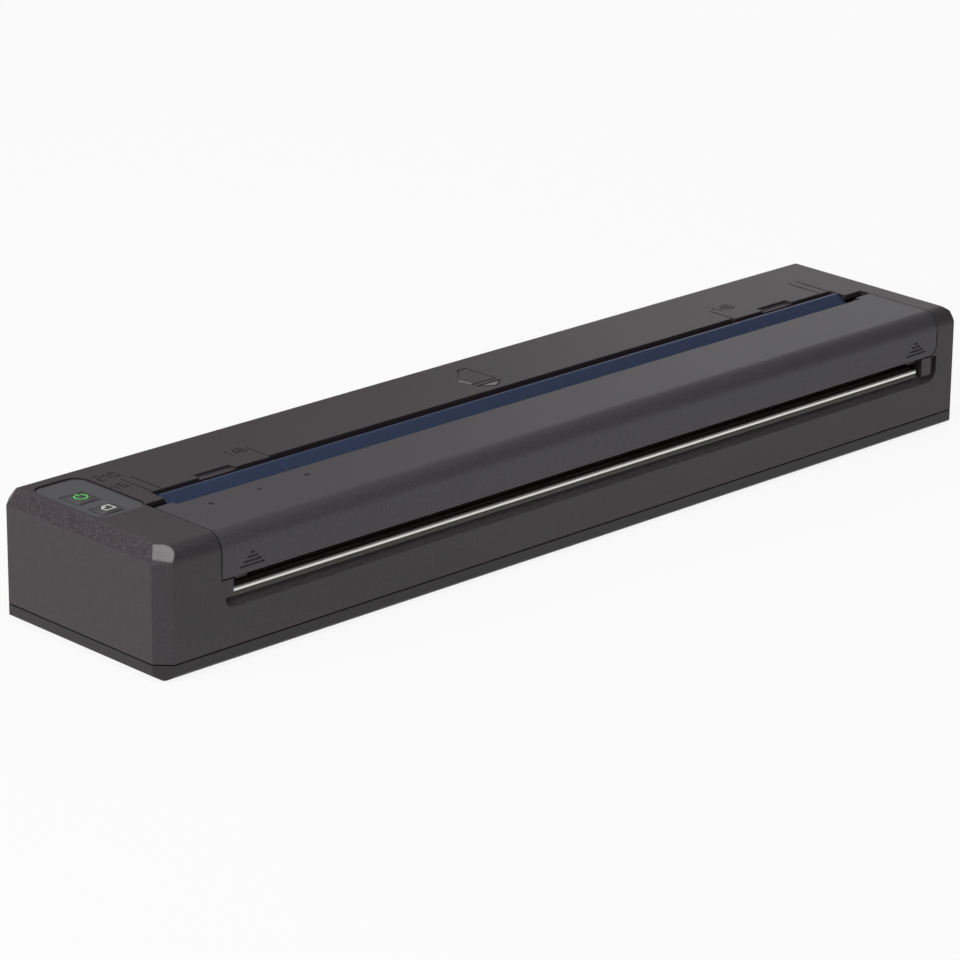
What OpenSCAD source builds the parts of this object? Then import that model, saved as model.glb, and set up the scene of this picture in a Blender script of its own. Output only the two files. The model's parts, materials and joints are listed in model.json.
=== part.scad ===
// Portable thermal printer for A4 sheets: a slim bar with a hinged release cover,
// a platen driven by a small gear train, a sprung thermal head and a slide-in battery.
// Millimetres. X runs along the printer, the paper leaves towards -Y, +Z is up.

/* [Body] */
// Length of the printer from end to end
body_length = 255; // [230:1:300]
// Depth from the front face to the rear face
body_depth = 55; // [54:0.5:62]
// Height above the table
body_height = 30; // [29.5:0.5:36]
// Wall of the moulded case
wall = 1.8; // [1.4:0.1:2.2]
// Height of the seam between the case and the base tray
seam_height = 4; // [3.6:0.1:4.4]
// Open line left at the seam
seam_gap = 0.3; // [0.2:0.05:0.5]
// Height of the feet below the base tray
foot_height = 0.5; // [0.3:0.1:1]

/* [Edges] */
// Chamfer of the two upright corners at the left end
left_corner_chamfer = 3.2; // [2:0.1:4]
// Chamfer of the two upright corners at the right end
right_corner_chamfer = 2.5; // [2:0.1:4]
// Inset of the small facets on top of the left corners
left_facet_width = 2.2; // [1:0.1:2.6]
// Inset of the small facets on top of the right corners
right_facet_width = 1.5; // [1:0.1:2.6]
// Width of the bevel along the top of the left end
left_bevel_width = 2.2; // [1:0.1:3]
// Width of the bevel along the top of the right end
right_bevel_width = 3.4; // [1:0.1:3.6]
// Height of both end bevels
end_bevel_height = 3.3; // [2:0.1:4]
// Radius of the top front edge
front_radius = 4.2; // [3:0.1:5]
// Radius of the top rear edge
rear_radius = 4.1; // [3:0.1:5]
// Width of the bevel under the base tray's front edge
tray_front_bevel = 1.2; // [1:0.1:2.5]
// Width of the bevel under the base tray's rear edge
tray_rear_bevel = 5; // [3:0.1:5.6]
// Width of the bevel under the base tray's ends
tray_end_bevel = 1.5; // [1:0.1:2.5]
// Height of the bevels under the base tray
tray_bevel_height = 0.9; // [0.5:0.1:1.2]

/* [Paper path] */
// Length beside the widest sheet, for the gears, the motor, the panel and the ports
end_room = 39; // [36:0.5:42]
// Distance of the paper's centre line from the printer's middle
paper_shift = 4; // [3.5:0.25:4.5]
// Distance between the engraved marks of the widest sheet, beyond its width
wide_mark_room = 0.9; // [0.5:0.1:1.2]
// Distance by which the engraved marks of the A4 sheet are closer than the widest sheet
sheet_mark_inset = 4.6; // [4:0.1:6]
// Distance between the engraved marks of the half sheet
half_mark_span = 149.5; // [140:0.5:160]
// Width of an engraved mark
mark_width = 0.5; // [0.3:0.1:0.8]
// Depth of an engraved mark
mark_depth = 0.3; // [0.2:0.1:0.5]
// Length of the engraved marks
mark_length = 8; // [5:0.5:12]
// Distance from the front face to the inlet's rear edge in the middle
inlet_reach = 31; // [30.6:0.1:31.4]
// Step of the inlet's rear edge outside the half sheet marks
inlet_step = 0.7; // [0.3:0.1:1]
// Height of the paper exit's lower edge
exit_bottom = 14.9; // [14.6:0.1:15]
// Margin of the exit slot inside the left end of the cover
exit_left_margin = 3; // [2.5:0.1:4]
// Margin of the exit slot inside the right end of the cover
exit_right_margin = 5; // [4:0.1:6]
// Height of the bevelled lip under the exit
lip_height = 2; // [1:0.1:2.5]
// Depth of the bevelled lip under the exit
lip_depth = 1.3; // [0.8:0.1:1.5]

/* [Release cover] */
// Length of the release cover beyond the widest sheet
cover_overhang = 13.2; // [13:0.1:14]
// Depth of the cover's top from the front face
cover_depth = 20.6; // [20:0.1:21]
// Depth of the cover's two rear ears from the front face
ear_depth = 22.1; // [21.6:0.1:22.2]
// Width of each rear ear
ear_width = 5; // [4.6:0.1:5.2]
// Height of the cover's lower edge
cover_bottom = 19.7; // [19.5:0.1:21]
// Wall of the cover
cover_wall = 2; // [1.6:0.1:2.1]
// Open line round the cover
cover_gap = 0.35; // [0.25:0.05:0.5]
// Radius of the cover's lower right corner
cover_corner = 2.5; // [1:0.1:2.8]
// Radius of the lip's lower right corner
lip_corner = 3; // [2.4:0.1:3.4]
// Distance from the front face to the hinge axis
hinge_reach = 24.3; // [24:0.1:24.6]
// Drop of the hinge axis below the top
hinge_drop = 3; // [2.9:0.05:3.2]
// Diameter of the hinge pins
hinge_pin_diameter = 1.6; // [1.2:0.1:1.8]
// Wall of the knuckle round a hinge pin
knuckle_wall = 0.65; // [0.6:0.05:0.7]
// Width of a hinge arm
arm_width = 2.2; // [1.6:0.1:2.4]
// Running clearance of every pin and shaft, on the radius
running_gap = 0.05; // [0.02:0.01:0.08]
// Diameter of an indicator lens
lens_diameter = 1.2; // [0.8:0.1:1.6]

/* [Guide strip] */
// Length of the blue guide strip beyond the widest sheet
strip_overhang = 1.4; // [1:0.1:1.8]
// Distance from the front face to the strip's rear face
strip_reach = 29; // [28.8:0.1:29.2]
// Radius of the strip's top edge
strip_edge_radius = 1.2; // [0.8:0.1:1.5]
// Slope of the strip's upper face in degrees
strip_slope = 30; // [27:0.5:32]
// Wall of the guide strip
strip_wall = 1.4; // [1:0.1:1.6]

/* [Button panel] */
// Length of the button panel along the printer
panel_width = 13.9; // [13:0.1:14.5]
// Distance from the button panel to the rear face
panel_rear_margin = 5.8; // [5:0.1:6.4]
// Distance from the left end to the panel
panel_margin = 3.9; // [3.6:0.1:4.2]
// Distance from the front face to the panel
panel_reach = 24.5; // [24:0.1:25]
// Corner radius of the panel
panel_radius = 3.5; // [2:0.1:4.5]
// Thickness of the panel
panel_thickness = 0.8; // [0.6:0.1:1]
// Drop of the panel below the top face
panel_drop = 0.4; // [0.2:0.1:0.6]
// Width of both buttons along the printer
button_width = 6.2; // [5:0.1:7]
// Depth of the power button
power_depth = 6.3; // [5:0.1:7]
// Depth of the feed button
feed_depth = 4.7; // [4:0.1:5.4]
// Height of the pillow on top of a button
button_pillow = 0.4; // [0.2:0.1:0.4]
// Travel of the buttons
button_travel = 0.5; // [0.3:0.05:0.6]
// Gap round a button
button_gap = 0.2; // [0.15:0.05:0.3]

/* [Platen and head] */
// Radius of the rubber roller
platen_radius = 5.2; // [4.8:0.1:5.4]
// Distance from the front face to the roller's axis
platen_reach = 12.7; // [12.5:0.1:13]
// Diameter of the roller's steel core
core_diameter = 6; // [5:0.1:7]
// Diameter of the roller's journals
journal_diameter = 4; // [3.4:0.1:4.4]
// Diameter of the gear seat on the roller's left end
gear_seat_diameter = 3; // [2.6:0.1:3.2]
// Outer diameter of the roller's bushes
bush_diameter = 7; // [6.4:0.1:7.4]
// Gap between the roller and the head
nip_gap = 0.25; // [0.2:0.05:0.3]
// Thickness of the ceramic head plate
head_plate_thickness = 1; // [0.8:0.1:1.2]
// Thickness of the aluminium heat sink
heat_sink_thickness = 3.3; // [3:0.1:3.5]
// Distance from the front face to the head's front edge
head_reach = 7.4; // [7.2:0.1:7.6]
// Depth of the heat sink
heat_sink_depth = 15; // [14.5:0.1:15.4]
// Diameter of the head's pivot rod
pivot_rod_diameter = 2; // [1.8:0.1:2.4]
// Thickness of the steel side frames
frame_thickness = 1.2; // [1:0.1:1.2]
// Height of the mechanism plate above the table
plate_height = 7.2; // [7:0.1:7.4]
// Thickness of the mechanism plate
plate_thickness = 1; // [0.8:0.1:1.2]
// Wire of the head springs
spring_wire = 0.4; // [0.3:0.05:0.5]
// Radius of the head springs
spring_radius = 2; // [1.6:0.1:2.2]
// Turns of each head spring
spring_turns = 4; // [3:1:5]

/* [Gear train] */
// Gear module at the usual distance from the roller to the motor
usual_module = 0.5; // [0.49:0.005:0.5]
// Teeth of the platen gear
platen_teeth = 24; // [23:1:24]
// Teeth of the idler gear
idler_teeth = 28; // [27:1:28]
// Teeth of the compound gear's small wheel
small_teeth = 14; // [14:1:15]
// Teeth of the compound gear's large wheel
large_teeth = 28; // [27:1:28]
// Teeth of the motor pinion
pinion_teeth = 12; // [12:1:13]
// Width of the gears
gear_width = 2; // [1.6:0.1:2.2]
// Free play between meshing teeth
backlash = 0.12; // [0.08:0.02:0.16]
// Diameter of the gear posts
post_diameter = 2; // [1.6:0.1:2.2]
// Diameter of the motor
motor_diameter = 20; // [18:0.5:20.5]
// Length of the motor
motor_length = 20; // [16:0.5:24]
// Gap between the motor and the rear wall
motor_rear_gap = 0.7; // [0.4:0.1:1]
// Height of the motor's axis
motor_height = 14.2; // [13.8:0.1:14.4]

/* [Battery] */
// Length beside the battery pack, for the motor, the gears and the battery door
battery_end_room = 56; // [55:0.5:60]
// Gap between the inlet's rear edge and the battery pack
battery_front_gap = 3.5; // [3.3:0.1:4]
// Height of the battery pack
battery_height = 19; // [17:0.5:20]
// Height of the battery pack's underside
battery_rest = 4.6; // [4.4:0.1:5]
// Gap between the battery pack and the rear wall
battery_rear_gap = 1.5; // [1.3:0.1:1.7]
// Number of cells in the pack, end to end
cell_count = 3; // [2:1:4]
// Diameter of the door's hinge pin
door_pin_diameter = 1; // [0.8:0.1:1.2]
// Radius of the door's hinge barrel
door_barrel_radius = 1.1; // [1:0.05:1.2]
// Height of the battery door
door_height = 19.8; // [18:0.2:20]
// Gap round the battery door
door_gap = 0.3; // [0.2:0.05:0.4]

/* [Ports] */
// Distance from the front face to the power inlet's axis
power_inlet_reach = 14; // [13.6:0.1:14.4]
// Diameter of the power inlet's bore
power_inlet_bore = 5.5; // [5:0.1:5.6]
// Diameter of the power inlet's pin
power_pin_diameter = 1.65; // [1.3:0.05:2]
// Distance from the front face to the data port's middle
data_port_reach = 23.6; // [23.2:0.1:24]
// Width of the data port's shell
data_port_width = 9; // [8.6:0.1:9.2]
// Height of the data port's shell
data_port_height = 3.2; // [2.8:0.1:3.4]
// Depth of both ports
port_depth = 9; // [8:0.1:9.4]

/* [Fasteners] */
// Diameter of the case screws' shanks
case_screw_diameter = 2.2; // [1.8:0.1:2.4]
// Diameter of the case screws' heads
case_head_diameter = 4.4; // [4:0.1:4.6]
// Outer diameter of the screw bosses
boss_diameter = 5.6; // [5.4:0.1:5.8]
// Diameter of the small frame screws' shanks
frame_screw_diameter = 1.6; // [1.4:0.1:1.8]
// Length of a rubber foot
foot_length = 16; // [12:0.5:20]
// Depth of a rubber foot
foot_depth = 6; // [4:0.5:8]

/* [Hidden] */
$fn = 48;

// Colours, as the photo shows them
case_colour = [0.27, 0.25, 0.26];
cover_colour = [0.33, 0.32, 0.33];
dark_colour = [0.13, 0.12, 0.13];
strip_colour = [0.18, 0.22, 0.31];
panel_colour = [0.36, 0.35, 0.36];
button_colour = [0.29, 0.28, 0.29];
steel_colour = [0.75, 0.75, 0.73];
gear_colour = [0.88, 0.87, 0.82];
board_colour = [0.1, 0.32, 0.2];
rubber_colour = [0.09, 0.09, 0.09];
brass_colour = [0.78, 0.62, 0.3];

// Overshoot of a cut past the face that it opens
over = 0.5;

// Faces of the body
left = -body_length / 2;
right = body_length / 2;
front = -body_depth / 2;
rear = body_depth / 2;
top = body_height;
centre = paper_shift;
paper_width = body_length - end_room;
seam_low = seam_height - seam_gap / 2;
seam_high = seam_height + seam_gap / 2;
floor_top = foot_height + wall;
ceiling = top - wall;

// Cover and hinge
cover_length = paper_width + cover_overhang;
cover_left = centre - cover_length / 2;
cover_right = centre + cover_length / 2;
cover_rear = front + cover_depth;
ear_rear = front + ear_depth;
hinge_y = front + hinge_reach;
hinge_z = top - hinge_drop;
knuckle_radius = hinge_pin_diameter / 2 + running_gap + knuckle_wall;
left_arm_x = cover_left + cover_gap;
right_arm_x = cover_right - cover_gap - arm_width;
pocket_rear = hinge_y + 1;
lug_thickness = 2.2;
lug_drop = 1.8;

// Openings for the paper
exit_left = cover_left + exit_left_margin;
exit_right = cover_right - exit_right_margin;
strip_length = paper_width + strip_overhang;
strip_left = centre - strip_length / 2;
strip_right = centre + strip_length / 2;
strip_rear = front + strip_reach;
strip_gap = 0.5;
inlet_rear = front + inlet_reach;
half_mark = half_mark_span / 2;
sheet_mark = (paper_width - sheet_mark_inset) / 2;
wide_mark = (paper_width + wide_mark_room) / 2;

// Side frames and mechanism
frame_half = paper_width / 2 + 2.3;
left_frame_x = centre - frame_half - frame_thickness;
right_frame_x = centre + frame_half;
plate_top = plate_height + plate_thickness;
heat_sink_low = plate_top + 2.8;
heat_sink_high = heat_sink_low + heat_sink_thickness;
head_face = heat_sink_high + head_plate_thickness;
platen_y = front + platen_reach;
platen_z = head_face + nip_gap + platen_radius;
platen_half = paper_width / 2 + 1;
head_front = front + head_reach;
sink_rear = head_front + heat_sink_depth;
pivot_y = sink_rear + 1.9;
pivot_z = heat_sink_low + heat_sink_thickness / 2 - 0.2;
head_half = paper_width / 2 + 1.4;
guide_half = paper_width / 2 + 0.6;

// Gear train: pitch radii, centres and phases, so that the teeth mesh at rest. The module grows
// with the distance from the roller to the motor, so that the train spans a deeper body too
motor_y = rear - wall - motor_rear_gap - motor_diameter / 2;
motor_z = motor_height;
motor_boss_diameter = 6;
usual_run = 29.8;
module_growth = 0.7;
gear_module = usual_module * (1 + module_growth * ((motor_y - platen_y) / usual_run - 1));
pressure_angle = 20;
addendum = 0.8 * gear_module;
dedendum = 1.25 * gear_module;
platen_pitch = gear_module * platen_teeth / 2;
idler_pitch = gear_module * idler_teeth / 2;
small_pitch = gear_module * small_teeth / 2;
large_pitch = gear_module * large_teeth / 2;
pinion_pitch = gear_module * pinion_teeth / 2;
idler_direction = -25;
idler_y = platen_y + (platen_pitch + idler_pitch) * cos(idler_direction);
idler_z = platen_z + (platen_pitch + idler_pitch) * sin(idler_direction);
idler_reach = idler_pitch + small_pitch;
pinion_reach = large_pitch + pinion_pitch;
idler_motor = norm([motor_y - idler_y, motor_z - idler_z]);
along = (pow(idler_motor, 2) + pow(idler_reach, 2) - pow(pinion_reach, 2)) / (2 * idler_motor);
aside = sqrt(pow(idler_reach, 2) - pow(along, 2));
motor_unit = [motor_y - idler_y, motor_z - idler_z] / idler_motor;
compound_y = idler_y + along * motor_unit[0] - aside * motor_unit[1];
compound_z = idler_z + along * motor_unit[1] + aside * motor_unit[0];
small_direction = atan2(compound_z - idler_z, compound_y - idler_y);
pinion_direction = atan2(motor_z - compound_z, motor_y - compound_y);
platen_phase = 0;
idler_phase = mesh_phase(platen_phase, platen_teeth, idler_teeth, idler_direction);
small_phase = mesh_phase(idler_phase, idler_teeth, small_teeth, small_direction);
large_phase = 0;
pinion_phase = mesh_phase(large_phase, large_teeth, pinion_teeth, pinion_direction);
inner_gear_x = left_frame_x - 1.1 - gear_width;
outer_gear_x = inner_gear_x - 0.6 - gear_width;
web_x = outer_gear_x + gear_width;

// Motor and battery
motor_x = left_frame_x + frame_thickness;
battery_length = body_length - battery_end_room;
battery_right = right - 5.5;
battery_left = battery_right - battery_length;
battery_rear = rear - wall - battery_rear_gap;
battery_front = inlet_rear + battery_front_gap;
battery_depth = battery_rear - battery_front;
cell_length = (battery_length - 4) / cell_count;
battery_round = 4;

// Battery door in the right end
door_axis_x = right - door_barrel_radius;
door_axis_y = battery_front - 0.9;
door_front = door_axis_y - door_barrel_radius;
door_rear = battery_rear;
door_low = seam_height + 1.4;
door_high = door_low + door_height;
door_thickness = 1.6;

// Ports in the right end
port_board_x = right_frame_x + frame_thickness + 1.1;
port_board_z = seam_height + 0.6;
board_thickness = 1.2;
port_right = right - wall - 0.2;
port_left = port_right - port_depth;
port_floor = port_board_z + board_thickness;
power_inlet_y = front + power_inlet_reach;
power_inlet_z = port_floor + 3.8;
power_inlet_half = 3.8;
data_port_y = front + data_port_reach;
data_port_z = port_floor + data_port_height / 2;
port_board_front = power_inlet_y - power_inlet_half - 0.7;
port_board_rear = data_port_y + data_port_width / 2 + 0.3;

// Button panel
panel_left = left + panel_margin;
panel_front = front + panel_reach;
panel_depth = rear - panel_rear_margin - panel_front;
panel_top = top - panel_drop;
panel_low = panel_top - panel_thickness;
button_x = panel_left + 5.6;
power_y = panel_front + 13.6;
feed_y = panel_front + 4.4;
switch_height = 1.5;
stem_width = 2.4;
stem_length = 3;
button_low = panel_low - 1.2;
stem_low = button_low - stem_length;
switch_top = stem_low - button_travel - 0.1;
button_board_z = switch_top - switch_height - board_thickness;

// Case screws: two ahead and two behind, clear of the gears, the ports and the battery
screw_inset = 9.5;
screw_places = [
    [left + screw_inset, front + 6.8],
    [left + screw_inset, rear - 5.5],
    [right - 5.6, front + 5.2],
    [right - 7.6, front + 31.4]
];
boss_joint = 14;
head_recess = 1.7;

// Function for the phase of a driven gear, in degrees
function mesh_phase(phase, teeth, driven, direction) =
    direction + 180 + 180 / driven - (phase - direction) * teeth / driven;

// Polar angle of the involute at a radius
function involute_angle(base, radius) =
    sqrt(pow(radius / base, 2) - 1) * 180 / PI - acos(base / radius);

// Half of a tooth's angle at a radius
function tooth_half(teeth, base, radius) =
    90 / teeth - backlash / (gear_module * teeth) * 45 / PI * 2
    + involute_angle(base, gear_module * teeth / 2) - involute_angle(base, radius);

function polar(radius, angle) = [radius * cos(angle), radius * sin(angle)];

// Outline of an involute gear
flank_steps = 3;
function gear_outline(teeth, phase) =
    let (pitch = gear_module * teeth / 2)
    let (base = pitch * cos(pressure_angle))
    let (root = pitch - dedendum)
    let (tip = pitch + addendum)
    let (foot = max(base, root))
    let (foot_half = tooth_half(teeth, base, foot))
    [for (tooth = [0 : teeth - 1])
        let (middle = phase + tooth * 360 / teeth)
        each concat(
            [polar(root, middle - foot_half)],
            [for (k = [0 : flank_steps])
                let (radius = foot + (tip - foot) * k / flank_steps)
                polar(radius, middle - tooth_half(teeth, base, radius))],
            [for (k = [flank_steps : -1 : 0])
                let (radius = foot + (tip - foot) * k / flank_steps)
                polar(radius, middle + tooth_half(teeth, base, radius))],
            [polar(root, middle + foot_half)]
        )];

// Places children whose own X, Y and Z become the printer's Y, Z and X
module along_x(x, y = 0, z = 0) {
    translate([x, y, z])
        rotate([90, 0, 90])
            children();
}

// Round bar along X
module rod(x, y, z, length, diameter) {
    along_x(x, y, z)
        cylinder(h = length, d = diameter);
}

// Box from two opposite corners
module block(low, high) {
    translate(low)
        cube(high - low);
}

// Box with rounded upright corners
module rounded_block(low, high, radius) {
    block([low[0] + radius, low[1], low[2]], [high[0] - radius, high[1], high[2]]);
    block([low[0], low[1] + radius, low[2]], [high[0], high[1] - radius, high[2]]);
    for (x = [low[0] + radius, high[0] - radius], y = [low[1] + radius, high[1] - radius])
        translate([x, y, low[2]])
            cylinder(h = high[2] - low[2], r = radius);
}

// What a long edge along X loses when it is rounded; side is -1 ahead and 1 behind
module long_edge_waste(y, z, radius, side) {
    difference() {
        block([left - over, min(y, y + side * radius), z],
            [right + over, max(y, y + side * radius), z + radius]);
        rod(left - 2 * over, y, z, body_length + 4 * over, 2 * radius);
    }
}

// Outer form of the case, drawn in by an inset on every side
module case_form(inset, low, high) {
    left_cut = left_corner_chamfer - inset * (2 - sqrt(2));
    right_cut = right_corner_chamfer - inset * (2 - sqrt(2));
    x_low = left + inset;
    x_high = right - inset;
    y_low = front + inset;
    y_high = rear - inset;
    difference() {
        intersection() {
            translate([0, 0, low])
                linear_extrude(height = high - low)
                    polygon([
                        [x_low + left_cut, y_low], [x_high - right_cut, y_low],
                        [x_high, y_low + right_cut], [x_high, y_high - right_cut],
                        [x_high - right_cut, y_high], [x_low + left_cut, y_high],
                        [x_low, y_high - left_cut], [x_low, y_low + left_cut]
                    ]);
            translate([0, rear, 0])
                rotate([90, 0, 0])
                    linear_extrude(height = body_depth)
                        polygon([
                            [x_low, 0], [x_high, 0],
                            [x_high, top - inset - end_bevel_height],
                            [x_high - right_bevel_width, top - inset],
                            [x_low + left_bevel_width, top - inset],
                            [x_low, top - inset - end_bevel_height]
                        ]);
        }
        long_edge_waste(y_low + front_radius - inset, top - front_radius,
            front_radius - inset, -1);
        long_edge_waste(y_high - rear_radius + inset, top - rear_radius,
            rear_radius - inset, 1);
        facet_base = top - inset - end_bevel_height;
        for (side = [[y_low, 1], [y_high, -1]]) {
            corner_facet_waste(x_low + left_cut / 2, side[0] + side[1] * left_cut / 2,
                facet_base, 180 + side[1] * 45, left_facet_width);
            corner_facet_waste(x_high - right_cut / 2, side[0] + side[1] * right_cut / 2,
                facet_base, -side[1] * 45, right_facet_width);
        }
    }
}

// What the top of an upright chamfer loses to its small facet
module corner_facet_waste(x, y, z, direction, width) {
    rise = end_bevel_height + over;
    reach = 4;
    translate([x, y, z])
        rotate([0, 0, direction])
            rotate([90, 0, 0])
                linear_extrude(height = 3 * left_corner_chamfer, center = true)
                    polygon([[0, 0], [reach, 0], [reach, rise],
                        [-width * rise / end_bevel_height, rise]]);
}

// Base tray: bevelled underneath, with a lip inside the case and rests for what it carries
module base_tray() {
    lip_rise = 1.6;
    lip_wall = 1;
    lip_fit = 0.15;
    color(case_colour)
    difference() {
        union() {
            tray_shell();
            tray_lip(lip_rise, lip_wall, lip_fit);
            for (place = screw_places)
                translate([place[0], place[1], foot_height])
                    cylinder(h = boss_joint - foot_height, d = boss_diameter);
            plate_rests(floor_top, plate_height);
            battery_rails();
            board_rests();
        }
        for (place = screw_places)
            translate([place[0], place[1], 0]) {
                cylinder(h = boss_joint + over, d = case_screw_diameter + 0.4);
                cylinder(h = foot_height + head_recess, d = case_head_diameter + 0.5);
            }
        for (place = foot_places())
            foot_block(place, 0.1, foot_height + 0.8);
        for (place = frame_screw_places())
            translate([place[0], place[1], floor_top])
                cylinder(h = plate_height, d = frame_screw_diameter);
    }
}

module tray_shell() {
    difference() {
        intersection() {
            case_form(0, foot_height, seam_low);
            tray_bevel();
        }
        case_form(wall, floor_top, top);
    }
}

// Inward bevels under the tray, at the front, the rear and both ends
module tray_bevel() {
    rise = foot_height + tray_bevel_height;
    intersection() {
        along_x(left)
            linear_extrude(height = body_length)
                polygon([
                    [front, rise], [front + tray_front_bevel, foot_height],
                    [rear - tray_rear_bevel, foot_height], [rear, rise], [rear, top], [front, top]
                ]);
        translate([0, rear, 0])
            rotate([90, 0, 0])
                linear_extrude(height = body_depth)
                    polygon([
                        [left, rise], [left + tray_end_bevel, foot_height],
                        [right - tray_end_bevel, foot_height], [right, rise],
                        [right, top], [left, top]
                    ]);
    }
}

// Lip that centres the case on the tray, open at the right end for the ports and the door
module tray_lip(rise, thickness, fit) {
    difference() {
        case_form(wall + fit, floor_top - over, seam_high + rise);
        case_form(wall + fit + thickness, floor_top - 2 * over, top);
        block([right - 2 * left_corner_chamfer, front + 2 * wall, seam_low],
            [right, rear - 2 * wall, top]);
    }
}

// Pads under the mechanism plate
module plate_rests(low, high) {
    for (place = frame_screw_places())
        translate([place[0], place[1], low - over])
            cylinder(h = high - low + over, d = 4.4);
}

function frame_screw_places() =
    [for (x = [left_frame_x + 5, right_frame_x - 4], y = [front + 6.2, front + 29]) [x, y]];

// Two rails and a stop that carry the battery pack
module battery_rails() {
    for (y = [battery_front + 2.2, battery_rear - 3.4])
        block([battery_left - 1, y, floor_top - over], [battery_right, y + 1.2, battery_rest]);
    block([battery_left - 1, battery_front - 1.4, floor_top - over],
        [battery_right - 2, battery_front - 0.3, battery_rest + 4]);
}

// Posts under the main board and the port board
module board_rests() {
    for (x = [main_board_left() + 4, main_board_right() - 4], y = [front + 12, front + 26])
        translate([x, y, floor_top - over])
            cylinder(h = main_board_z() - floor_top + over, d = 3.6);
    for (y = [port_board_front + 1.6, port_board_rear - 1.6])
        block([port_board_x + 1, y - 1, floor_top - over],
            [port_board_x + 4, y + 1, port_board_z]);
}

function main_board_z() = floor_top + 1.8;
function main_board_left() = left_frame_x + 23.5;
function main_board_right() = right_frame_x - 10.3;

// Rubber feet let into the tray
module rubber_feet() {
    color(rubber_colour)
    for (place = foot_places())
        foot_block(place, 0, foot_height + 0.8);
}

function foot_places() =
    [for (x = [left + 26, right - 26], y = [front + 8, rear - 8.6]) [x, y]];

module foot_block(place, fit, high) {
    rounded_block([place[0] - foot_length / 2 - fit, place[1] - foot_depth / 2 - fit, 0],
        [place[0] + foot_length / 2 + fit, place[1] + foot_depth / 2 + fit, high], 2);
}

module case_screws() {
    length = 17;
    color(steel_colour)
    for (place = screw_places)
        translate([place[0], place[1], foot_height + head_recess - 1.5])
            difference() {
                union() {
                    cylinder(h = 1.5, d = case_head_diameter);
                    cylinder(h = length, d = case_screw_diameter);
                }
                cross_recess(case_head_diameter / 2, 0.8);
            }
}

// Cross recess in a screw head
module cross_recess(size, depth) {
    for (turn = [0, 90])
        rotate([0, 0, turn])
            block([-size / 2, -0.25, -over], [size / 2, 0.25, depth]);
}

// Upper case: the shell with every opening, and what hangs inside it
module top_case() {
    color(case_colour)
    difference() {
        union() {
            difference() {
                case_form(0, seam_high, top);
                case_form(wall, 0, ceiling);
                cover_opening();
                inlet_opening();
            }
            exit_islands();
            case_bosses();
            hinge_lugs();
            panel_posts();
        }
        exit_opening();
        exit_lip();
        hinge_pin_holes();
        panel_recess();
        width_marks();
        edge_recesses();
        case_screw_holes();
        end_openings();
    }
}

module cover_opening() {
    difference() {
        block([cover_left - cover_gap, front - over, cover_bottom - cover_gap],
            [cover_right + cover_gap, cover_rear + cover_gap, top + over]);
        right_corner_waste(cover_right + cover_gap, cover_bottom - cover_gap,
            cover_corner + cover_gap, wall + 0.2);
    }
    for (x = [[cover_left - cover_gap, strip_left - strip_gap + over],
            [strip_right + strip_gap - over, cover_right + cover_gap]])
        union() {
            block([x[0], front, ceiling - over], [x[1], pocket_rear, top + over]);
            block([x[0], front, ceiling - over],
                [x[1], hinge_y + knuckle_radius + 0.3, hinge_z + knuckle_radius + 0.3]);
        }
}

// Slot for the sheet and the strip: wider between the half sheet marks
module inlet_opening() {
    block([strip_left - strip_gap, cover_rear, ceiling - over],
        [strip_right + strip_gap, inlet_rear - inlet_step, top + over]);
    block([centre - half_mark, cover_rear, ceiling - over],
        [centre + half_mark, inlet_rear, top + over]);
}

// Pieces of the front wall between the ends of the exit and the cover's seam
module exit_islands() {
    depth = 3;
    for (x = [[cover_left - over - cover_gap, exit_left], [exit_right, cover_right + over + cover_gap]])
        block([x[0], front + wall - over, exit_bottom - over],
            [x[1], front + depth, cover_bottom - cover_gap]);
}

module exit_opening() {
    block([exit_left, front - over, exit_bottom], [exit_right, front + wall + 2, cover_bottom]);
}

// Bevelled lip under the exit. Its right end turns up into the cover's side line, and the piece
// between that end and the exit rounds off towards it
module exit_lip() {
    low = exit_bottom - lip_height;
    round_start = lip_right() - 3.4;
    intersection() {
        along_x(left)
            linear_extrude(height = body_length)
                polygon([[front - over, low - over * lip_height / lip_depth],
                    [front + lip_depth, exit_bottom], [front + lip_depth, exit_bottom + over],
                    [front - over, exit_bottom + over]]);
        lip_outline(low, exit_bottom);
    }
    intersection() {
        translate([0, 0, low])
            linear_extrude(height = cover_bottom - cover_gap - low + over)
                polygon([
                    [round_start, front - over], [round_start, front],
                    for (k = [1 : 5])
                        [round_start + 3.4 * k / 5, front + lip_depth * pow(k / 5, 2)],
                    [lip_right() + over, front + lip_depth], [lip_right() + over, front - over]
                ]);
        lip_outline(low, cover_bottom - cover_gap);
    }
}

function lip_right() = cover_right + cover_gap;

// Area of the lip seen from the front, up to a height
module lip_outline(low, high) {
    left_end = exit_left - 0.2;
    translate([0, front + 2 * wall, 0])
        rotate([90, 0, 0])
            linear_extrude(height = 2 * wall + over) {
                translate([left_end, low])
                    square([lip_right() - lip_corner - left_end, high - low]);
                translate([left_end, exit_bottom])
                    circle(r = lip_height);
                translate([left_end, low + lip_corner])
                    square([lip_right() - left_end, max(high - low - lip_corner, 0.01)]);
                intersection() {
                    translate([lip_right() - lip_corner, low + lip_corner])
                        circle(r = lip_corner);
                    translate([left_end, low])
                        square([lip_right() - left_end + over, high - low]);
                }
            }
}

module case_bosses() {
    for (place = screw_places)
        translate([place[0], place[1], boss_joint])
            cylinder(h = ceiling - boss_joint + over, d = boss_diameter);
}

module case_screw_holes() {
    for (place = screw_places)
        translate([place[0], place[1], boss_joint - over])
            cylinder(h = 7 + over, d = case_screw_diameter);
}

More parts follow.
